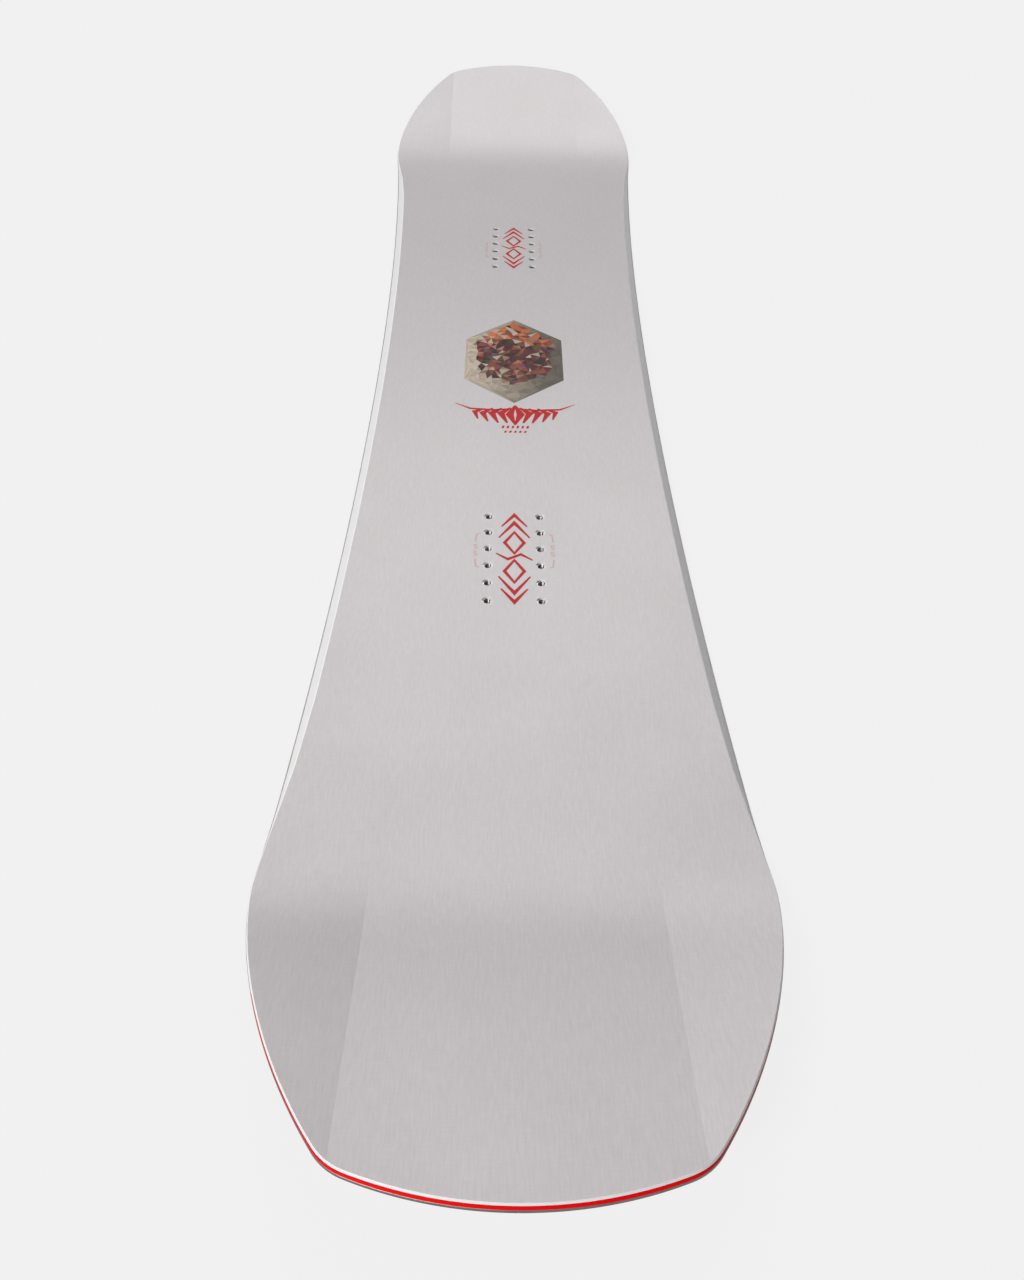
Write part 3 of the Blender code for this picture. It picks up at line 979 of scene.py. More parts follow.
class Finishes:
    """Every material on the board."""

    def __init__(self, fx: Effects) -> None:
        """Mix them all.

        Args:
            fx: The shared node groups.
        """
        red, pale = (0.5, 0.004, 0.006), (0.53, 0.33, 0.34)
        self.topsheet = Woven(fx, "topsheet_satin", 0.5, (0.540, 0.503, 0.512), (0.452, 0.430, 0.435)).mix()
        self.red_ink = Woven(fx, "red_ink", 0.1, red, shaded(red, 0.82)).mix()
        self.pale_ink = Woven(fx, "pale_red_ink", 0.3, pale, shaded(pale, 0.94)).mix()
        self.picture_ink = Pictured(fx, "picture_inks", 0.12).mix()
        self.rim = Moulded(fx, "white_rim", (0.86, 0.852, 0.852), (0.79, 0.782, 0.782), 0.42).mix()
        wall, soiled_wall = (0.775, 0.765, 0.77), (0.7, 0.69, 0.695)
        self.sidewall = Moulded(fx, "white_sidewall", wall, soiled_wall, 0.4, 0.2).mix()
        self.fill = Moulded(fx, "red_tip_plate", (0.82, 0.003, 0.004), (0.68, 0.002, 0.003), 0.5, 0.08).mix()
        self.rubber = Moulded(fx, "damping_rubber", (0.62, 0.62, 0.61), (0.5, 0.5, 0.49), 0.7).mix()
        self.glass = Laminate(fx, "glass_laminate", (0.6, 0.63, 0.54), (0.76, 0.78, 0.7)).mix()
        self.base = Sintered(fx, "sintered_base", (0.013, 0.013, 0.014), (0.055, 0.055, 0.058)).mix()
        # Painted reflection: the edge steel's dark colours stand for the dark surroundings that the steel
        # reflects.
        dull, bright = (0.135, 0.112, 0.108), (0.235, 0.205, 0.2)
        self.edge = GroundSteel(fx, "edge_steel", dull, bright, (0.42, 0.56)).mix()
        dull, bright = (0.36, 0.355, 0.35), (0.5, 0.495, 0.49)
        self.insert = TurnedSteel(fx, "insert_steel", dull, bright, (0.3, 0.45)).mix()
        # Painted shade: the bores' steel is near-black so that each hole looks dark where shade falls inside
        # it.
        shade_black, shade_grey = (0.008, 0.0078, 0.0076), (0.022, 0.0216, 0.0212)
        self.thread = TurnedSteel(fx, "thread_steel", shade_black, shade_grey, (0.5, 0.65)).mix()
        self.core = Wood(fx, "core_wood", (0.66, 0.5, 0.31), (0.5, 0.34, 0.19), 5 * MM).mix()
        self.inlay = Wood(fx, "insert_strip_wood", (0.5, 0.33, 0.17), (0.34, 0.2, 0.1), 2.5 * MM).mix()


@dataclass
class SubAssembly:
    """What every sub-assembly is made with."""

    shop: Workshop
    finishes: Finishes

    @property
    def shape(self) -> BoardShape:
        """The board's shape."""
        return self.shop.shape


@dataclass
class Layered(SubAssembly):
    """A sub-assembly that follows the outline."""

    outline: Outline


@dataclass
class InsertPacks(SubAssembly):
    """Twenty-four threaded inserts in two packs, and the holes over them."""

    stance: float = 550 * MM
    column_x: float = 20 * MM
    spacing: float = 20 * MM
    per_column: int = 6
    height: float = 6.0 * MM
    flange_radius: float = 8 * MM
    flange_thickness: float = 1.4 * MM
    barrel_radius: float = 4.5 * MM
    soft_corner: float = 0.15 * MM
    bore_radius: float = 2.5 * MM
    chamfer: float = 0.25 * MM
    lip: float = 0.05 * MM
    lit_share: float = 0.5
    thread_depth: float = 0.45 * MM
    thread_pitch: float = 1.0 * MM
    steps_per_turn: int = 6
    hole_radius: float = 3.6 * MM
    recess_radius: float = 3.75 * MM
    recess_depth: float = 0.12 * MM
    flare: float = 0.1 * MM
    clearance: float = 1 * MM
    facets: int = 32
    sharp: float = 40.0

    def places(self) -> list[tuple[str, float, float]]:
        """Lay the packs out.

        Returns:
            Name, s and x of each insert.
        """
        found = []
        for end in End:
            for side in Side:
                for k in range(self.per_column):
                    s = end.value * self.stance / 2 + (k - (self.per_column - 1) / 2) * self.spacing
                    found.append((f"insert_{end.word}_{side.word}_{k + 1}", s, side.value * self.column_x))
        return found

    def frame_at(self, s: float, x: float) -> Matrix:
        """Find where an insert stands.

        Args:
            s: Its distance along the board.
            x: Its distance across it.

        Returns:
            Place and tilt of its foot on the core's underside.
        """
        foot = self.shape.place(s, x, self.shape.core_bottom)
        slope = float(self.shape.profile(np.array(s))[2])
        return Matrix.Translation(Vector(foot)) @ Matrix.Rotation(slope, 4, "X")

    def ring(self, radius: np.ndarray, height: float) -> np.ndarray:
        """One turn of points.

        Args:
            radius: One radius for all of them or for each.
            height: Their height.

        Returns:
            One row of x, y, z a point.
        """
        angle = np.arange(self.facets) * math.tau / self.facets
        radius = np.broadcast_to(radius, angle.shape)
        return np.stack([radius * np.cos(angle), radius * np.sin(angle), np.full_like(angle, height)], axis=1)

    def threaded(self) -> list[np.ndarray]:
        """Cut a screw thread into the bore.

        Returns:
            Rings from the bore's foot to its mouth.
        """
        turns = np.arange(self.facets) / self.facets
        steps = round(self.height / self.thread_pitch * self.steps_per_turn)
        rings = []
        for height in (self.height * k / steps for k in range(steps + 1)):
            groove = 1 - np.abs(2 * ((height / self.thread_pitch - turns) % 1.0) - 1)
            fade = min(1.0, (self.height - height) / self.thread_pitch, height / self.thread_pitch)
            opened = max(0.0, self.bore_radius + self.chamfer - (self.height - height))
            cut = self.bore_radius + self.thread_depth * groove * fade
            rings.append(self.ring(np.maximum(cut, opened), height))
        return rings

    def outside(self) -> list[np.ndarray]:
        """Turn the outside.

        Returns:
            Rings from the bore's mouth over the barrel and the flange to the bore's foot.
        """
        soft, flange, height = self.soft_corner, self.flange_thickness, self.height
        profile = (
            (self.bore_radius + self.chamfer + self.lip, height),
            (self.barrel_radius - soft, height),
            (self.barrel_radius, height - soft),
            (self.barrel_radius, flange + 2 * soft),
            (self.barrel_radius + 2 * soft, flange),
            (self.flange_radius - soft, flange),
            (self.flange_radius, flange - soft),
            (self.flange_radius, soft),
            (self.flange_radius - soft, 0.0),
        )
        return [self.ring(*corner) for corner in profile]

    def cutter(self, depth: float, recess: bool) -> Thing:
        """Plugs that open a hole over every insert.

        Args:
            depth: How far the plugs reach below the topsheet.
            recess: True to sink a shallow cone round each hole.

        Returns:
            One object with all the plugs.
        """
        top = float(self.shape.top(np.array(0.0)))
        profile = [(self.hole_radius, top - depth), (self.hole_radius, top + self.clearance)]
        if recess:
            slope = (self.recess_radius - self.hole_radius) / self.recess_depth
            mouth = self.recess_radius + slope * self.flare
            profile[1:] = [(self.hole_radius, top - self.recess_depth)]
            profile += [(mouth, top + self.flare), (mouth, top + self.clearance)]
        points, faces = [], []
        for _, s, x in self.places():
            faces += tube(len(profile), self.facets, start=len(points))
            stand = self.frame_at(s, x)
            for radius, height in profile:
                ring = self.ring(radius, height - self.shape.core_bottom)
                points += [stand @ Vector(point) for point in ring]
        return self.shop.solid("hole_plugs", np.array([tuple(p) for p in points]), faces)

    def build(self) -> None:
        """Make every insert and put it in its node's place."""
        rings = self.outside() + self.threaded()
        faces = tube(len(rings), self.facets, closed=True)
        for name, s, x in self.places():
            piece = self.shop.solid(f"{name}_threaded", np.vstack(rings), faces, self.sharp)
            piece.data.materials.append(self.finishes.insert)
            piece.data.materials.append(self.finishes.thread)
            for polygon in piece.data.polygons:
                # Painted shade: bore faces below the lit part of the chamfer take the near-black steel, and
                # the rest keeps the light insert steel.
                inside = polygon.center.xy.length < self.bore_radius + self.chamfer
                dark = polygon.center.z < self.height - self.lit_share * self.chamfer
                polygon.material_index = int(inside and dark)
            piece.data.transform(self.frame_at(s, x))
            self.shop.fit(piece, self.finishes.insert, "insert_steel", name)


@dataclass
class TopLayers(Layered):
    """Satin topsheet with the glass laminate under it, both drilled for the inserts."""

    packs: InsertPacks
    inner: tuple[float, ...] = (12 * MM, 28 * MM, 44 * MM, 62 * MM)
    outer: tuple[float, ...] = (97 * MM, 111 * MM)
    rim_chamfer: float = 0.1 * MM
    rim_chamfer_run: float = 0.6
    rim_lean: float = 0.9
    overlap: float = 0.005 * MM
    glass_sink: float = 1.9
    sheet_drill: float = 1 * MM
    glass_drill: float = 2 * MM
    sharp: float = 12.0
    stations: int = 4001
    soft_bend: Pair = (515 * MM, 628 * MM)
    soft_lift: Pair = (548 * MM, 612 * MM)
    panel_lean: float = math.radians(11)

    def layer(self, name: str, low_depth: float, high_depth: float) -> Thing:
        """One layer between two depths below the board's top.

        Args:
            name: Name of the object.
            low_depth: Depth of its lower face.
            high_depth: Depth of its upper face.

        Returns:
            The new object.
        """
        shape, cols = self.shape, self.shape.columns(self.inner, self.outer)
        low, high = shape.below_top(low_depth), shape.below_top(high_depth)
        shoulder = shape.below_top(high_depth + self.rim_chamfer)
        low_rail = self.outline.whole_rail(shape.side_inset(low))
        side_rail = self.outline.whole_rail(shape.side_inset(shoulder))
        run_in = self.rim_chamfer * self.rim_chamfer_run
        high_rail = self.outline.whole_rail(lambda s: shape.bevel(s, high(s)) + run_in)
        section = [(rail, low) for rail in across(low_rail, cols)]
        section.append((signed(side_rail, 1), shoulder))
        section += [(rail, high) for rail in reversed(across(high_rail, cols))]
        section.append((signed(side_rail, -1), shoulder))
        return self.shop.loft(name, section, self.sharp)

    def drill(self, piece: Thing, plugs: Thing) -> None:
        """Cut the holes of a layer for good.

        Args:
            piece: The layer.
            plugs: What is cut out of it, which goes afterwards.
        """
        cut = piece.modifiers.new("holes", "BOOLEAN")
        cut.object = plugs
        cut.solver = "EXACT"
        graph = bpy.context.evaluated_depsgraph_get()
        mesh = bpy.data.meshes.new_from_object(piece.evaluated_get(graph))
        piece.modifiers.clear()
        piece.data = mesh
        mesh.set_sharp_from_angle(angle=math.radians(self.sharp))
        bpy.data.objects.remove(plugs)

    def whiten_rim(self, piece: Thing, face: Material) -> None:
        """Give the outer rim the white of cut plastic.

        Args:
            piece: The layer.
            face: Finish of everything but its rim.
        """
        piece.data.materials.clear()
        piece.data.materials.append(face)
        piece.data.materials.append(self.finishes.rim)
        for polygon in piece.data.polygons:
            polygon.material_index = int(abs(polygon.normal.z) < self.rim_lean)

    def soften(self, piece: Thing) -> None:
        """Let light run over the upper face as over a longer bend and a fuller lift of the outer panels.

        Only the shading normals turn; every point stays where the mould puts it.

        Args:
            piece: The drilled topsheet.
        """
        shape, mesh = self.shape, piece.data
        stations = np.linspace(-shape.flat_length / 2, shape.flat_length / 2, self.stations)
        y_at = shape.place(stations, 0.0, shape.top(stations))[:, 1]
        normals = np.zeros((len(mesh.loops), 3))
        for polygon in mesh.polygons:
            if polygon.normal.z < self.rim_lean:
                continue
            corners = np.array([mesh.vertices[i].co for i in polygon.vertices])
            s = np.interp(corners[:, 1], y_at, stations)
            u = np.abs(s)
            pressed = np.clip((u - shape.contact) / shape.bend_radius, 0.0, shape.kick)
            start, end = self.soft_bend
            soft = shape.kick * smooth_step((u - start) / (end - start))
            slope = shape.profile(s)[2] + np.sign(s) * (soft - pressed)
            start, end = self.soft_lift
            lean = self.panel_lean * (abs(polygon.center.x) > shape.crease)
            lean = lean * smooth_step((u - start) / (end - start)) * np.sign(corners[:, 0])
            upright = np.cos(lean)
            turned = np.stack([-np.sin(lean), -np.sin(slope) * upright, np.cos(slope) * upright], axis=1)
            normals[list(polygon.loop_indices)] = turned
        mesh.normals_split_custom_set([tuple(normal) for normal in normals])

    def build(self) -> None:
        """Make both layers."""
        shape = self.shape
        sheet_low = shape.topsheet + shape.bond / 2
        glass_low = shape.topsheet + shape.glass + self.glass_sink * shape.bond
        sheet = self.layer("topsheet_satin", sheet_low, 0.0)
        self.drill(sheet, self.packs.cutter(self.sheet_drill, True))
        self.whiten_rim(sheet, self.finishes.topsheet)
        self.soften(sheet)
        self.shop.fit(sheet, self.finishes.topsheet, "topsheet", "topsheet")
        glass = self.layer("top_glass_cloth", glass_low, sheet_low + self.overlap)
        self.drill(glass, self.packs.cutter(self.glass_drill, False))
        self.whiten_rim(glass, self.finishes.glass)
        self.shop.fit(glass, self.finishes.glass, "laminate", "top_glass")


@dataclass
class SteelEdges(Layered):
    """The wrapped edge: two ground lengths of profile steel that meet at the nose and the tail."""

    width: float = 2.0 * MM
    flange_reach: float = 7.0 * MM
    joint_gap: float = 0.05 * MM
    chamfer: float = 0.15 * MM

    def profile(self) -> tuple[Pair, ...]:
        """Draw the steel's profile.

        Returns:
            Inset and height of its corners, round from the running corner.
        """
        top, c = self.shape.edge_height, self.chamfer
        flange = top - self.shape.glass
        return (
            (c, 0.0),
            (0.0, c),
            (0.0, top - c),
            (c, top),
            (self.flange_reach, top),
            (self.flange_reach, flange),
            (self.width, flange),
            (self.width, 0.0),
        )

    def build(self) -> None:
        """Make both halves."""
        for side in Side:
            section = []
            for inset, height in self.profile():
                rail = self.outline.half_rail(self.shape.level(inset))
                rail = np.vstack([rail, (rail[-1][0], self.joint_gap / 2)])
                section.append((signed(mirrored(rail), side.value), self.shape.level(height)))
            name = f"steel_edge_{side.word}"
            self.shop.fit(self.shop.loft(f"{name}_ground", section), self.finishes.edge, "steel_edge", name)


@dataclass
class SideParts(Layered):
    """White bevelled sidewalls with the rubber damping strips at their feet."""

    width: float = 14 * MM
    seam: float = 0.005 * MM

    def strip(self, side: Side, name: str, low: Height, high: Height) -> Thing:
        """Strip along one side, as far as the core goes.

        Args:
            side: Which side.
            name: Name of the object.
            low: Height of its foot.
            high: Height of its head.

        Returns:
            The new object.
        """
        inner = self.shape.level(self.width)
        insets = (inner, self.shape.side_inset(low), self.shape.side_inset(high), inner)
        rails = [self.outline.half_rail(inset) for inset in insets]
        rails = [self.outline.split_at_core_end(rail, 0.0)[0] for rail in rails]
        rails = [signed(mirrored(rail), side.value) for rail in evened(rails, False)]
        return self.shop.loft(name, list(zip(rails, (low, low, high, high))))

    def build(self) -> None:
        """Make both sides."""
        shape = self.shape
        rubber_low = shape.level(shape.edge_height + self.seam)
        rubber_high = shape.level(shape.core_bottom + shape.damper)
        wall_low = shape.level(shape.core_bottom + shape.damper + self.seam)
        for side in Side:
            wall = self.strip(side, f"sidewall_{side.word}_bevelled", wall_low, shape.fill_top)
            self.shop.fit(wall, self.finishes.sidewall, "sidewall", f"sidewall_{side.word}")
            rubber = self.strip(side, f"damping_strip_{side.word}_pressed", rubber_low, rubber_high)
            self.shop.fit(rubber, self.finishes.rubber, "damping_rubber", f"damping_strip_{side.word}")


@dataclass
class TipPlates(Layered):
    """Red plates that take the core's place inside the nose and the tail."""

    horn: float = 14 * MM
    gap: float = 0.3 * MM
    seam: float = 0.005 * MM

    def build(self) -> None:
        """Make both plates."""
        shape = self.shape
        low, high = shape.level(shape.edge_height + self.seam), shape.fill_top
        insets = (shape.side_inset(low), shape.side_inset(high), shape.level(self.horn))
        rails = [self.outline.half_rail(inset) for inset in insets]
        rails = [self.outline.split_at_core_end(rail, self.gap)[1] for rail in rails]
        low_rail, high_rail = evened(rails[:2], True)
        inner_x = np.minimum(high_rail[:, 1], rails[2][0][1])
        inner_rail = np.stack([shape.core_end(inner_x) + self.gap, inner_x], axis=1)
        for end in End:
            section = []
            for rail, height in ((low_rail, low), (high_rail, high), (inner_rail, high), (inner_rail, low)):
                whole = np.vstack([rail, signed(rail[::-1], -1)])
                section.append((whole * (end.value, 1), height))
            name = f"{end.word}_tip_fill"
            self.shop.fit(self.shop.loft(f"{name}_plate", section), self.finishes.fill, "tip_fill", name)


@dataclass
class RunningBase(Layered):
    """Black sintered running sheet let in between the steel edges."""

    inset: float = 2.01 * MM
    corner: float = 0.08 * MM
    bond_share: float = 0.9
    inner: tuple[float, ...] = (30 * MM, 60 * MM)
    outer: tuple[float, ...] = (104 * MM,)
    sharp: float = 12.0

    def build(self) -> None:
        """Make the sheet."""
        shape, cols = self.shape, self.shape.columns(self.inner, self.outer)
        rim = self.outline.whole_rail(shape.level(self.inset))
        face = self.outline.whole_rail(shape.level(self.inset + self.corner))
        low, side = shape.level(0.0), shape.level(self.corner)
        high = shape.level(shape.base + self.bond_share * shape.bond)
        section = [(rail, low) for rail in across(face, cols)]
        section += [(signed(rim, 1), side), (signed(rim, 1), high)]
        section += [(rail, high) for rail in reversed(across(rim, cols)[1:-1])]
        section += [(signed(rim, -1), high), (signed(rim, -1), side)]
        sheet = self.shop.loft("base_sintered", section, self.sharp)
        self.shop.fit(sheet, self.finishes.base, "base", "base")


@dataclass
class InnerParts:
    """The wood core and the lower laminate, whose solids are right as they are."""

    finishes: Finishes

    def build(self) -> None:
        """Dress the solids that stay."""
        for name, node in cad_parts.items():
            finish = None
            if name.startswith("core_strip"):
                finish = self.finishes.inlay if name.endswith("_1") else self.finishes.core
            elif name == "bottom_glass":
                finish = self.finishes.glass
            if finish:
                node.data.materials.clear()
                node.data.materials.append(finish)
                LOG.info("%s: dressed in %s", name, finish.name)


class Ink(Enum):
    """Linear colours of the emblem's facets."""

    ORANGE = (0.5, 0.13, 0.03)
    BROWN = (0.12, 0.045, 0.02)
    CREAM = (0.42, 0.36, 0.3)
    GREEN = (0.03, 0.055, 0.012)
    WINE = (0.07, 0.012, 0.01)
    RUST = (0.24, 0.05, 0.025)
    PLUM = (0.11, 0.045, 0.09)
    ROSE = (0.28, 0.13, 0.09)
    SOOT = (0.018, 0.007, 0.005)
    SAND = (0.5, 0.42, 0.33)


@dataclass
class Emblem:
    """Six-sided emblem of small triangular facets, laid out in millimetres."""

    INSIDE = 1
    seed: int = 11
    middle: float = 22
    half_width: float = 46
    half_length: float = 79
    half_side: float = 38
    pitch: Pair = (6.2, 6.8)
    jitter: Pair = (2.5, 2.4)
    rows: range = range(-9, 16)
    columns: range = range(-8, 8)
    loose: float = 1e-4
    border_from: float = 0.74
    border_growth: float = 0.0026
    border_light: float = 0.52
    border_fade: float = 0.011
    border_least: float = 0.22
    border_spread: Pair = (0.75, 1.25)
    inner_spread: Pair = (0.8, 1.25)
    warm_depth: float = 0.55
    warm_start: float = 48
    warm: str = "ORANGE ORANGE ROSE BROWN RUST RUST ORANGE SOOT CREAM"
    deep: str = "SOOT SOOT WINE WINE WINE RUST RUST ROSE ROSE PLUM BROWN BROWN CREAM GREEN"

    def colour(self, x: float, s: float, rng: random.Random) -> Colour:
        """Colour of one facet: sandy at the border, warm towards the tail and mixed deep inks inside.

        Args:
            x: Its middle across the board.
            s: Its middle along the board.
            rng: The seeded draw.

        Returns:
            A linear colour.
        """
        draw = rng.random()
        along = s - self.middle
        depth = max(abs(x) / self.half_width, abs(along) / self.half_length + abs(x) / (2 * self.half_width))
        if depth > self.border_from + self.border_growth * along:
            light = max(self.border_least, self.border_light - self.border_fade * x)
            return shaded(Ink.SAND.value, light * between(*self.border_spread, draw))
        mix = (self.warm if depth > self.warm_depth and s > self.warm_start else self.deep).split()
        return shaded(Ink[mix[int(draw * len(mix))]].value, between(*self.inner_spread, rng.random()))

    def films(self) -> list[Film]:
        """Cut the emblem into facets.

        Returns:
            Each facet's corners and colour.
        """
        rng = random.Random(self.seed)
        far, near = self.middle + self.half_side, self.middle - self.half_side
        left, tail, nose = -self.half_width, self.middle + self.half_length, self.middle - self.half_length
        rim = [(left, far), (0, tail), (-left, far), (-left, near), (0, nose), (left, near)]
        points = [Vector(corner) for corner in rim]
        for row in self.rows:
            for column in self.columns:
                jitter = [rng.uniform(-reach, reach) for reach in self.jitter]
                x = column * self.pitch[0] + (row % 2) * (self.pitch[0] / 2) + jitter[0]
                points.append(Vector((x, row * self.pitch[1] + jitter[1])))
        edges = [(k, (k + 1) % len(rim)) for k in range(len(rim))]
        whole = [list(range(len(rim)))]
        places, _, faces = geometry.delaunay_2d_cdt(points, edges, whole, self.INSIDE, self.loose)[:3]
        films = []
        for face in faces:
            corners = [tuple(places[i]) for i in face]
            x, s = (sum(corner[axis] for corner in corners) / 3 for axis in (0, 1))
            films.append((corners, self.colour(x, s, rng)))
        return films


@dataclass
class Prints(SubAssembly):
    """Thin prints on the topsheet: strokes, stance marks, an emblem and an ornament.

    They are laid out as x and s in millimetres, and a bend of a line also has the line's width there.
    """

    film: float = 0.03 * MM
    sunk: float = 0.02 * MM
    merge: float = 0.001 * MM
    slice_length: float = 10 * MM
    lift: float = 0.004
    mitre: float = 0.45
    pack_centre: float = 275
    stroke_weight: float = 1.62
    mark_centre: float = 267.5
    mark_line: Line = ((26.3, 20.4, 1.1), (29.2, 19.2, 1.3), (29.9, 10.5, 1.2))
    figures: int = 2
    figure_x: float = 29.5
    figure_shift: float = -1.6
    figure_foot: float = 1.2
    figure_row: float = 8.0
    figure_height: float = 5.8
    figure_stroke: float = 0.95
    ornament_x: float = 1
    ornament_heights: int = 3
    tick_rows: tuple[tuple[int, float], ...] = ((6, 4.2), (5, 3.2))
    tick_corners: tuple[float, ...] = (-1.3, 0.7, 1.5, -0.5)
    tick_pitch: float = 4.3
    tick_foot: float = -98.5
    tick_row: float = 7.0

    def lay(self, name: str, films: list[Film], finish: Material, lift: float = 0.0) -> None:
        """Film of ink over flat polygons.

        Args:
            name: Name of the object.
            films: The polygons' corners, each with its own colour or None.
            finish: Its material.
            lift: How much higher it lies than the lowest film.
        """
        bm = bmesh.new()
        tone = bm.faces.layers.int.new("tone")
        for number, (corners, _) in enumerate(films):
            bm.faces.new([bm.verts.new((x * MM, s * MM, 0.0)) for x, s in corners])[tone] = number
        bmesh.ops.remove_doubles(bm, verts=bm.verts, dist=self.merge)
        reach = [vert.co.y for vert in bm.verts]
        first, last = math.ceil(min(reach) / self.slice_length), math.floor(max(reach) / self.slice_length)
        for k in range(first, last + 1):
            whole = list(bm.verts) + list(bm.edges) + list(bm.faces)
            place = (0, k * self.slice_length, 0)
            bmesh.ops.bisect_plane(bm, geom=whole, dist=self.merge, plane_co=place, plane_no=(0, 1, 0))
        raised = bmesh.ops.extrude_face_region(bm, geom=list(bm.faces), use_keep_orig=True)
        tops = {item for item in raised["geom"] if isinstance(item, bmesh.types.BMVert)}
        for vert in bm.verts:
            h = self.shape.top(np.array(vert.co.y)) + (self.film + lift if vert in tops else -self.sunk)
            vert.co = Vector(self.shape.place(vert.co.y, vert.co.x, h))
        bmesh.ops.recalc_face_normals(bm, faces=bm.faces)
        mesh = bpy.data.meshes.new(name)
        bm.to_mesh(mesh)
        bm.free()
        if any(colour for _, colour in films):
            inks = mesh.color_attributes.new("ink", "FLOAT_COLOR", "CORNER")
            for polygon, number in zip(mesh.polygons, mesh.attributes["tone"].data):
                for corner in polygon.loop_indices:
                    inks.data[corner].color = (*films[number.value][1], 1.0)
        mesh.attributes.remove(mesh.attributes["tone"])
        self.shop.fit(self.shop.show(name, mesh), finish, "topsheet")

    def ribbon(self, line: Line) -> list[Film]:
        """Mitred strip of quads.

        Args:
            line: x, s and width at each bend.

        Returns:
            The quads.
        """
        places = [Vector(bend[:2]) for bend in line]
        steps = [(b - a).normalized() for a, b in zip(places, places[1:])]
        sides = []
        for i, (here, bend) in enumerate(zip(places, line)):
            before, after = steps[max(i - 1, 0)], steps[min(i, len(steps) - 1)]
            normal = sideways((before + after).normalized())
            stretch = 1 / max(self.mitre, normal.dot(sideways(after)))
            out = normal * bend[2] / 2 * stretch
            sides.append((tuple(here + out), tuple(here - out)))
        return [([a[0], a[1], b[1], b[0]], None) for a, b in zip(sides, sides[1:])]

    def ribbons(self, name: str, lines: Sequence[Line], heights: int) -> None:
        """Lay lines as ribbons of red ink.

        Args:
            name: What the names of the pieces start with.
            lines: The lines.
            heights: How many heights they take turns at, so that none lies in another where they cross.
        """
        for number, line in enumerate(lines):
            lift = number % heights * self.lift * MM
            self.lay(f"{name}_{number + 1}", self.ribbon(line), self.finishes.red_ink, lift)

    def strokes(self) -> None:
        """Red chevrons, two rings and a bar between the columns of inserts, the same both ways round."""
        half = (
            ((-10, 37, 0.8), (0, 52, 2.0), (10, 37, 0.8)),
            ((-12, 23, 0.8), (0, 42, 2.0), (12, 23, 0.8)),
            ((4, 23, 1.4), (0, 30, 1.2), (-7.5, 17, 1.7), (0, 4, 1.2), (7.5, 17, 1.7), (4, 23, 1.4)),
        )
        lines = [((-14, 4, 0.8), (-5, -3, 1.7), (5, 3, 1.7), (14, -4, 0.8))]
        lines += [[(x, up * s, width) for x, s, width in line] for up in (-1, 1) for line in half]
        for end in End:
            centre, weight = end.value * self.pack_centre, self.stroke_weight
            placed = [[(x, centre + s, weight * width) for x, s, width in line] for line in lines]
            self.ribbons(f"print_stroke_{end.word}", placed, len(lines))

    def figure_five(self, x: float, s: float) -> list[Film]:
        """Plain figure 5.

        Args:
            x: Its left side.
            s: Its foot.

        Returns:
            Its bars.
        """
        tall, stroke = self.figure_height, self.figure_stroke
        half = tall / 2
        bars = (
            (0, tall - stroke, half, stroke),
            (0, half, stroke, half - stroke),
            (half - stroke, stroke, stroke, half - stroke * 1.5),
            (0, 0, half, stroke),
            (0, half - stroke / 2, half, stroke),
        )
        films = []
        for left, foot, wide, high in bars:
            corners = [(left, foot), (left + wide, foot), (left + wide, foot + high), (left, foot + high)]
            films.append(([(x + cx, s + cs) for cx, cs in corners], None))
        return films

    def stance_marks(self) -> None:
        """Pale brackets outside the inserts that mark the reference stance, with its size in centimetres."""
        for end in End:
            centre = end.value * self.mark_centre
            for side in Side:
                films, left = [], side.value * self.figure_x + self.figure_shift
                for up in (-1, 1):
                    line = [(side.value * x, centre + up * s, width) for x, s, width in self.mark_line]
                    films += self.ribbon(line)
                for row in range(self.figures):
                    films += self.figure_five(left, centre + self.figure_foot - row * self.figure_row)
                self.lay(f"print_stance_{end.word}_{side.word}", films, self.finishes.pale_ink)

    def ornament(self) -> None:
        """Symmetrical red ornament and two rows of ticks under the emblem."""
        lines = (
            ((0, -61, 1.6), (5.0, -76, 7.2), (0, -93, 1.4)),
            ((4, -65, 2.0), (13, -74, 6.4), (7, -90, 1.8)),
            ((12, -66, 1.8), (21, -74, 6.2), (15, -90, 1.6)),
            ((20, -66, 1.6), (29, -74, 5.6), (24, -88, 1.4)),
            ((27, -67, 1.4), (36, -72, 4.6), (33, -84, 1.2)),
            ((2, -66, 1.2), (18, -69, 3.0), (40, -67, 2.6), (54, -58, 0.6)),
        )
        for side in Side:
            placed = [[(side.value * x + self.ornament_x, s, w) for x, s, w in line] for line in lines]
            self.ribbons(f"print_flourish_{side.word}", placed, self.ornament_heights)
        ticks = []
        for row, (count, tall) in enumerate(self.tick_rows):
            foot = self.tick_foot - row * self.tick_row
            for k in range(count):
                x = self.ornament_x + (k - (count - 1) / 2) * self.tick_pitch
                rows = (foot, foot, foot + tall, foot + tall)
                ticks.append(([(x + corner, s) for corner, s in zip(self.tick_corners, rows)], None))
        self.lay("print_ticks", ticks, self.finishes.red_ink)

    def build(self) -> None:
        """Lay every print."""
        self.strokes()
        self.stance_marks()
        self.lay("print_emblem", Emblem().films(), self.finishes.picture_ink)
        self.ornament()


@dataclass(frozen=True)
class Lamp:
    """One soft light, a rectangle of width by height that faces the middle of the board."""

    name: str
    place: Point
    size: Pair
    power: float


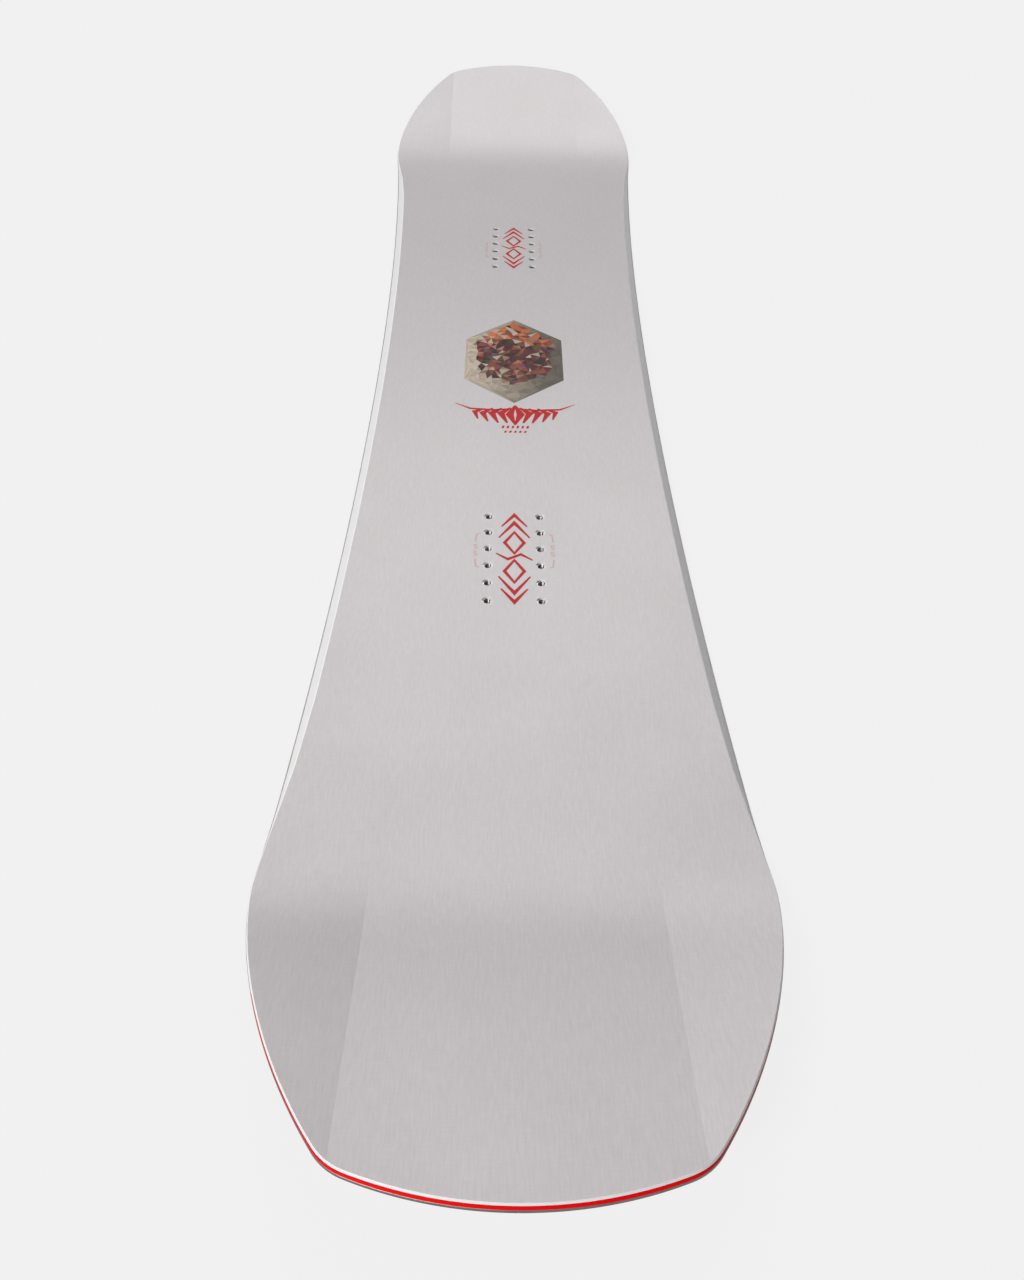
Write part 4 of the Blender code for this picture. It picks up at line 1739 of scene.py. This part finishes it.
@dataclass
class Studio:
    """Floor, soft lights and camera."""

    camera_place: Point = (-0.01212, -0.95831, 0.55601)
    camera_degrees: Point = (47.304, -1.079, -0.004)
    lens: float = 32.281
    nearest: float = 0.01
    pale: float = 0.888
    paper: float = 0.72
    fill: float = 0.05
    gloss: Pair = (0.15, 0.55)
    gloss_rise: Pair = (0.1, 0.6)
    floor_reach: float = 40.0
    floor_glow: float = 0.95
    lamps: tuple[Lamp, ...] = (
        Lamp("beyond_tail", (0.0, 3.1, 2.6), (3.0, 0.7), 33.0),
        Lamp("above_tail", (0.0, 2.6, 3.1), (3.0, 0.7), 23.0),
        Lamp("over_board", (0.0, 2.0, 3.5), (3.0, 0.7), 37.0),
        Lamp("key_behind_left", (-2.8, -3.4, 3.2), (1.4, 1.4), 230.0),
    )

    @staticmethod
    def stand(name: str, data: bpy.types.ID) -> Thing:
        """Put something that isn't part of the board into the scene.

        Args:
            name: Name of the object.
            data: Its mesh, light or camera.

        Returns:
            The new object.
        """
        made = bpy.data.objects.new(name, data)
        bpy.context.scene.collection.objects.link(made)
        return made

    def hang(self, lamp: Lamp) -> None:
        """Add one soft light.

        Args:
            lamp: The light.
        """
        data = bpy.data.lights.new(lamp.name, "AREA")
        data.shape = "RECTANGLE"
        data.size, data.size_y = lamp.size
        data.energy = lamp.power
        made = self.stand(lamp.name, data)
        made.location = lamp.place
        made.rotation_euler = (-Vector(lamp.place)).to_track_quat("-Z", "Y").to_euler()

    @staticmethod
    def shown_rays(nodes: Nodes) -> Socket:
        """Pick out the rays that see the pale surroundings.

        Args:
            nodes: The tree's writer.

        Returns:
            1 for camera, glossy and transmission rays, 0 for others.
        """
        path = nodes.add("LightPath").outputs
        either = nodes.maths("MAXIMUM", path["Is Camera Ray"], path["Is Glossy Ray"])
        return nodes.maths("MAXIMUM", either, path["Is Transmission Ray"])

    def world(self) -> None:
        """Surroundings: pale to the camera, darker near the ground to reflections, faint as light."""
        world = bpy.data.worlds.new("studio")
        nodes = Nodes(emptied(world))
        camera = nodes.add("LightPath").outputs["Is Camera Ray"]
        direction = nodes.split(nodes.add("TexCoord").outputs["Generated"])
        gloss = nodes.span(direction[2], self.gloss_rise, self.gloss)
        level = self.fill
        for mask, shown in ((self.shown_rays(nodes), gloss), (camera, self.pale)):
            level = nodes.maths("MULTIPLY_ADD", mask, nodes.maths("SUBTRACT", shown, level), level)
        back = nodes.add("Background", {"Color": (1, 1, 1, 1), "Strength": level})
        nodes.add("OutputWorld", {"Surface": back.outputs[0]})
        bpy.context.scene.world = world

    def floor(self) -> None:
        """Pale floor that keeps a soft shadow."""
        mesh, r = bpy.data.meshes.new("studio_floor"), self.floor_reach
        mesh.from_pydata([(-r, -r, 0), (r, -r, 0), (r, r, 0), (-r, r, 0)], [], [(0, 1, 2, 3)])
        material = bpy.data.materials.new("studio_paper")
        nodes = Nodes(emptied(material))
        paper = nodes.add("BsdfDiffuse", {"Color": (self.paper, self.paper, self.paper, 1)})
        glow = nodes.add("Emission", {"Color": (1, 1, 1, 1), "Strength": self.pale})
        share = nodes.maths("MULTIPLY", self.shown_rays(nodes), self.floor_glow)
        mixed = nodes.add("MixShader", {0: share, 1: paper.outputs[0], 2: glow.outputs[0]})
        nodes.add("OutputMaterial", {"Surface": mixed.outputs[0]})
        mesh.materials.append(material)
        self.stand("studio_floor", mesh)

    def camera(self) -> None:
        """Camera at the photograph's viewpoint."""
        data = bpy.data.cameras.new("camera")
        data.lens = self.lens
        data.clip_start = self.nearest
        made = self.stand("camera", data)
        made.location = self.camera_place
        made.rotation_euler = [math.radians(turn) for turn in self.camera_degrees]
        bpy.context.scene.camera = made

    def build(self) -> None:
        """Set up everything round the board."""
        bpy.context.scene.view_settings.view_transform = "Standard"
        self.world()
        self.floor()
        for lamp in self.lamps:
            self.hang(lamp)
        self.camera()


def main() -> None:
    """Build the board and the studio."""
    logging.basicConfig(level=logging.INFO, format="%(name)s %(message)s")
    shop, finishes = Workshop(BoardShape()), Finishes(Effects())
    outline = Outline(shop.shape)
    packs = InsertPacks(shop, finishes)
    InnerParts(finishes).build()
    for layered in (RunningBase, SteelEdges, SideParts, TipPlates):
        layered(shop, finishes, outline).build()
    TopLayers(shop, finishes, outline, packs).build()
    packs.build()
    Prints(shop, finishes).build()
    Studio().build()


if __name__ == "__main__":
    main()
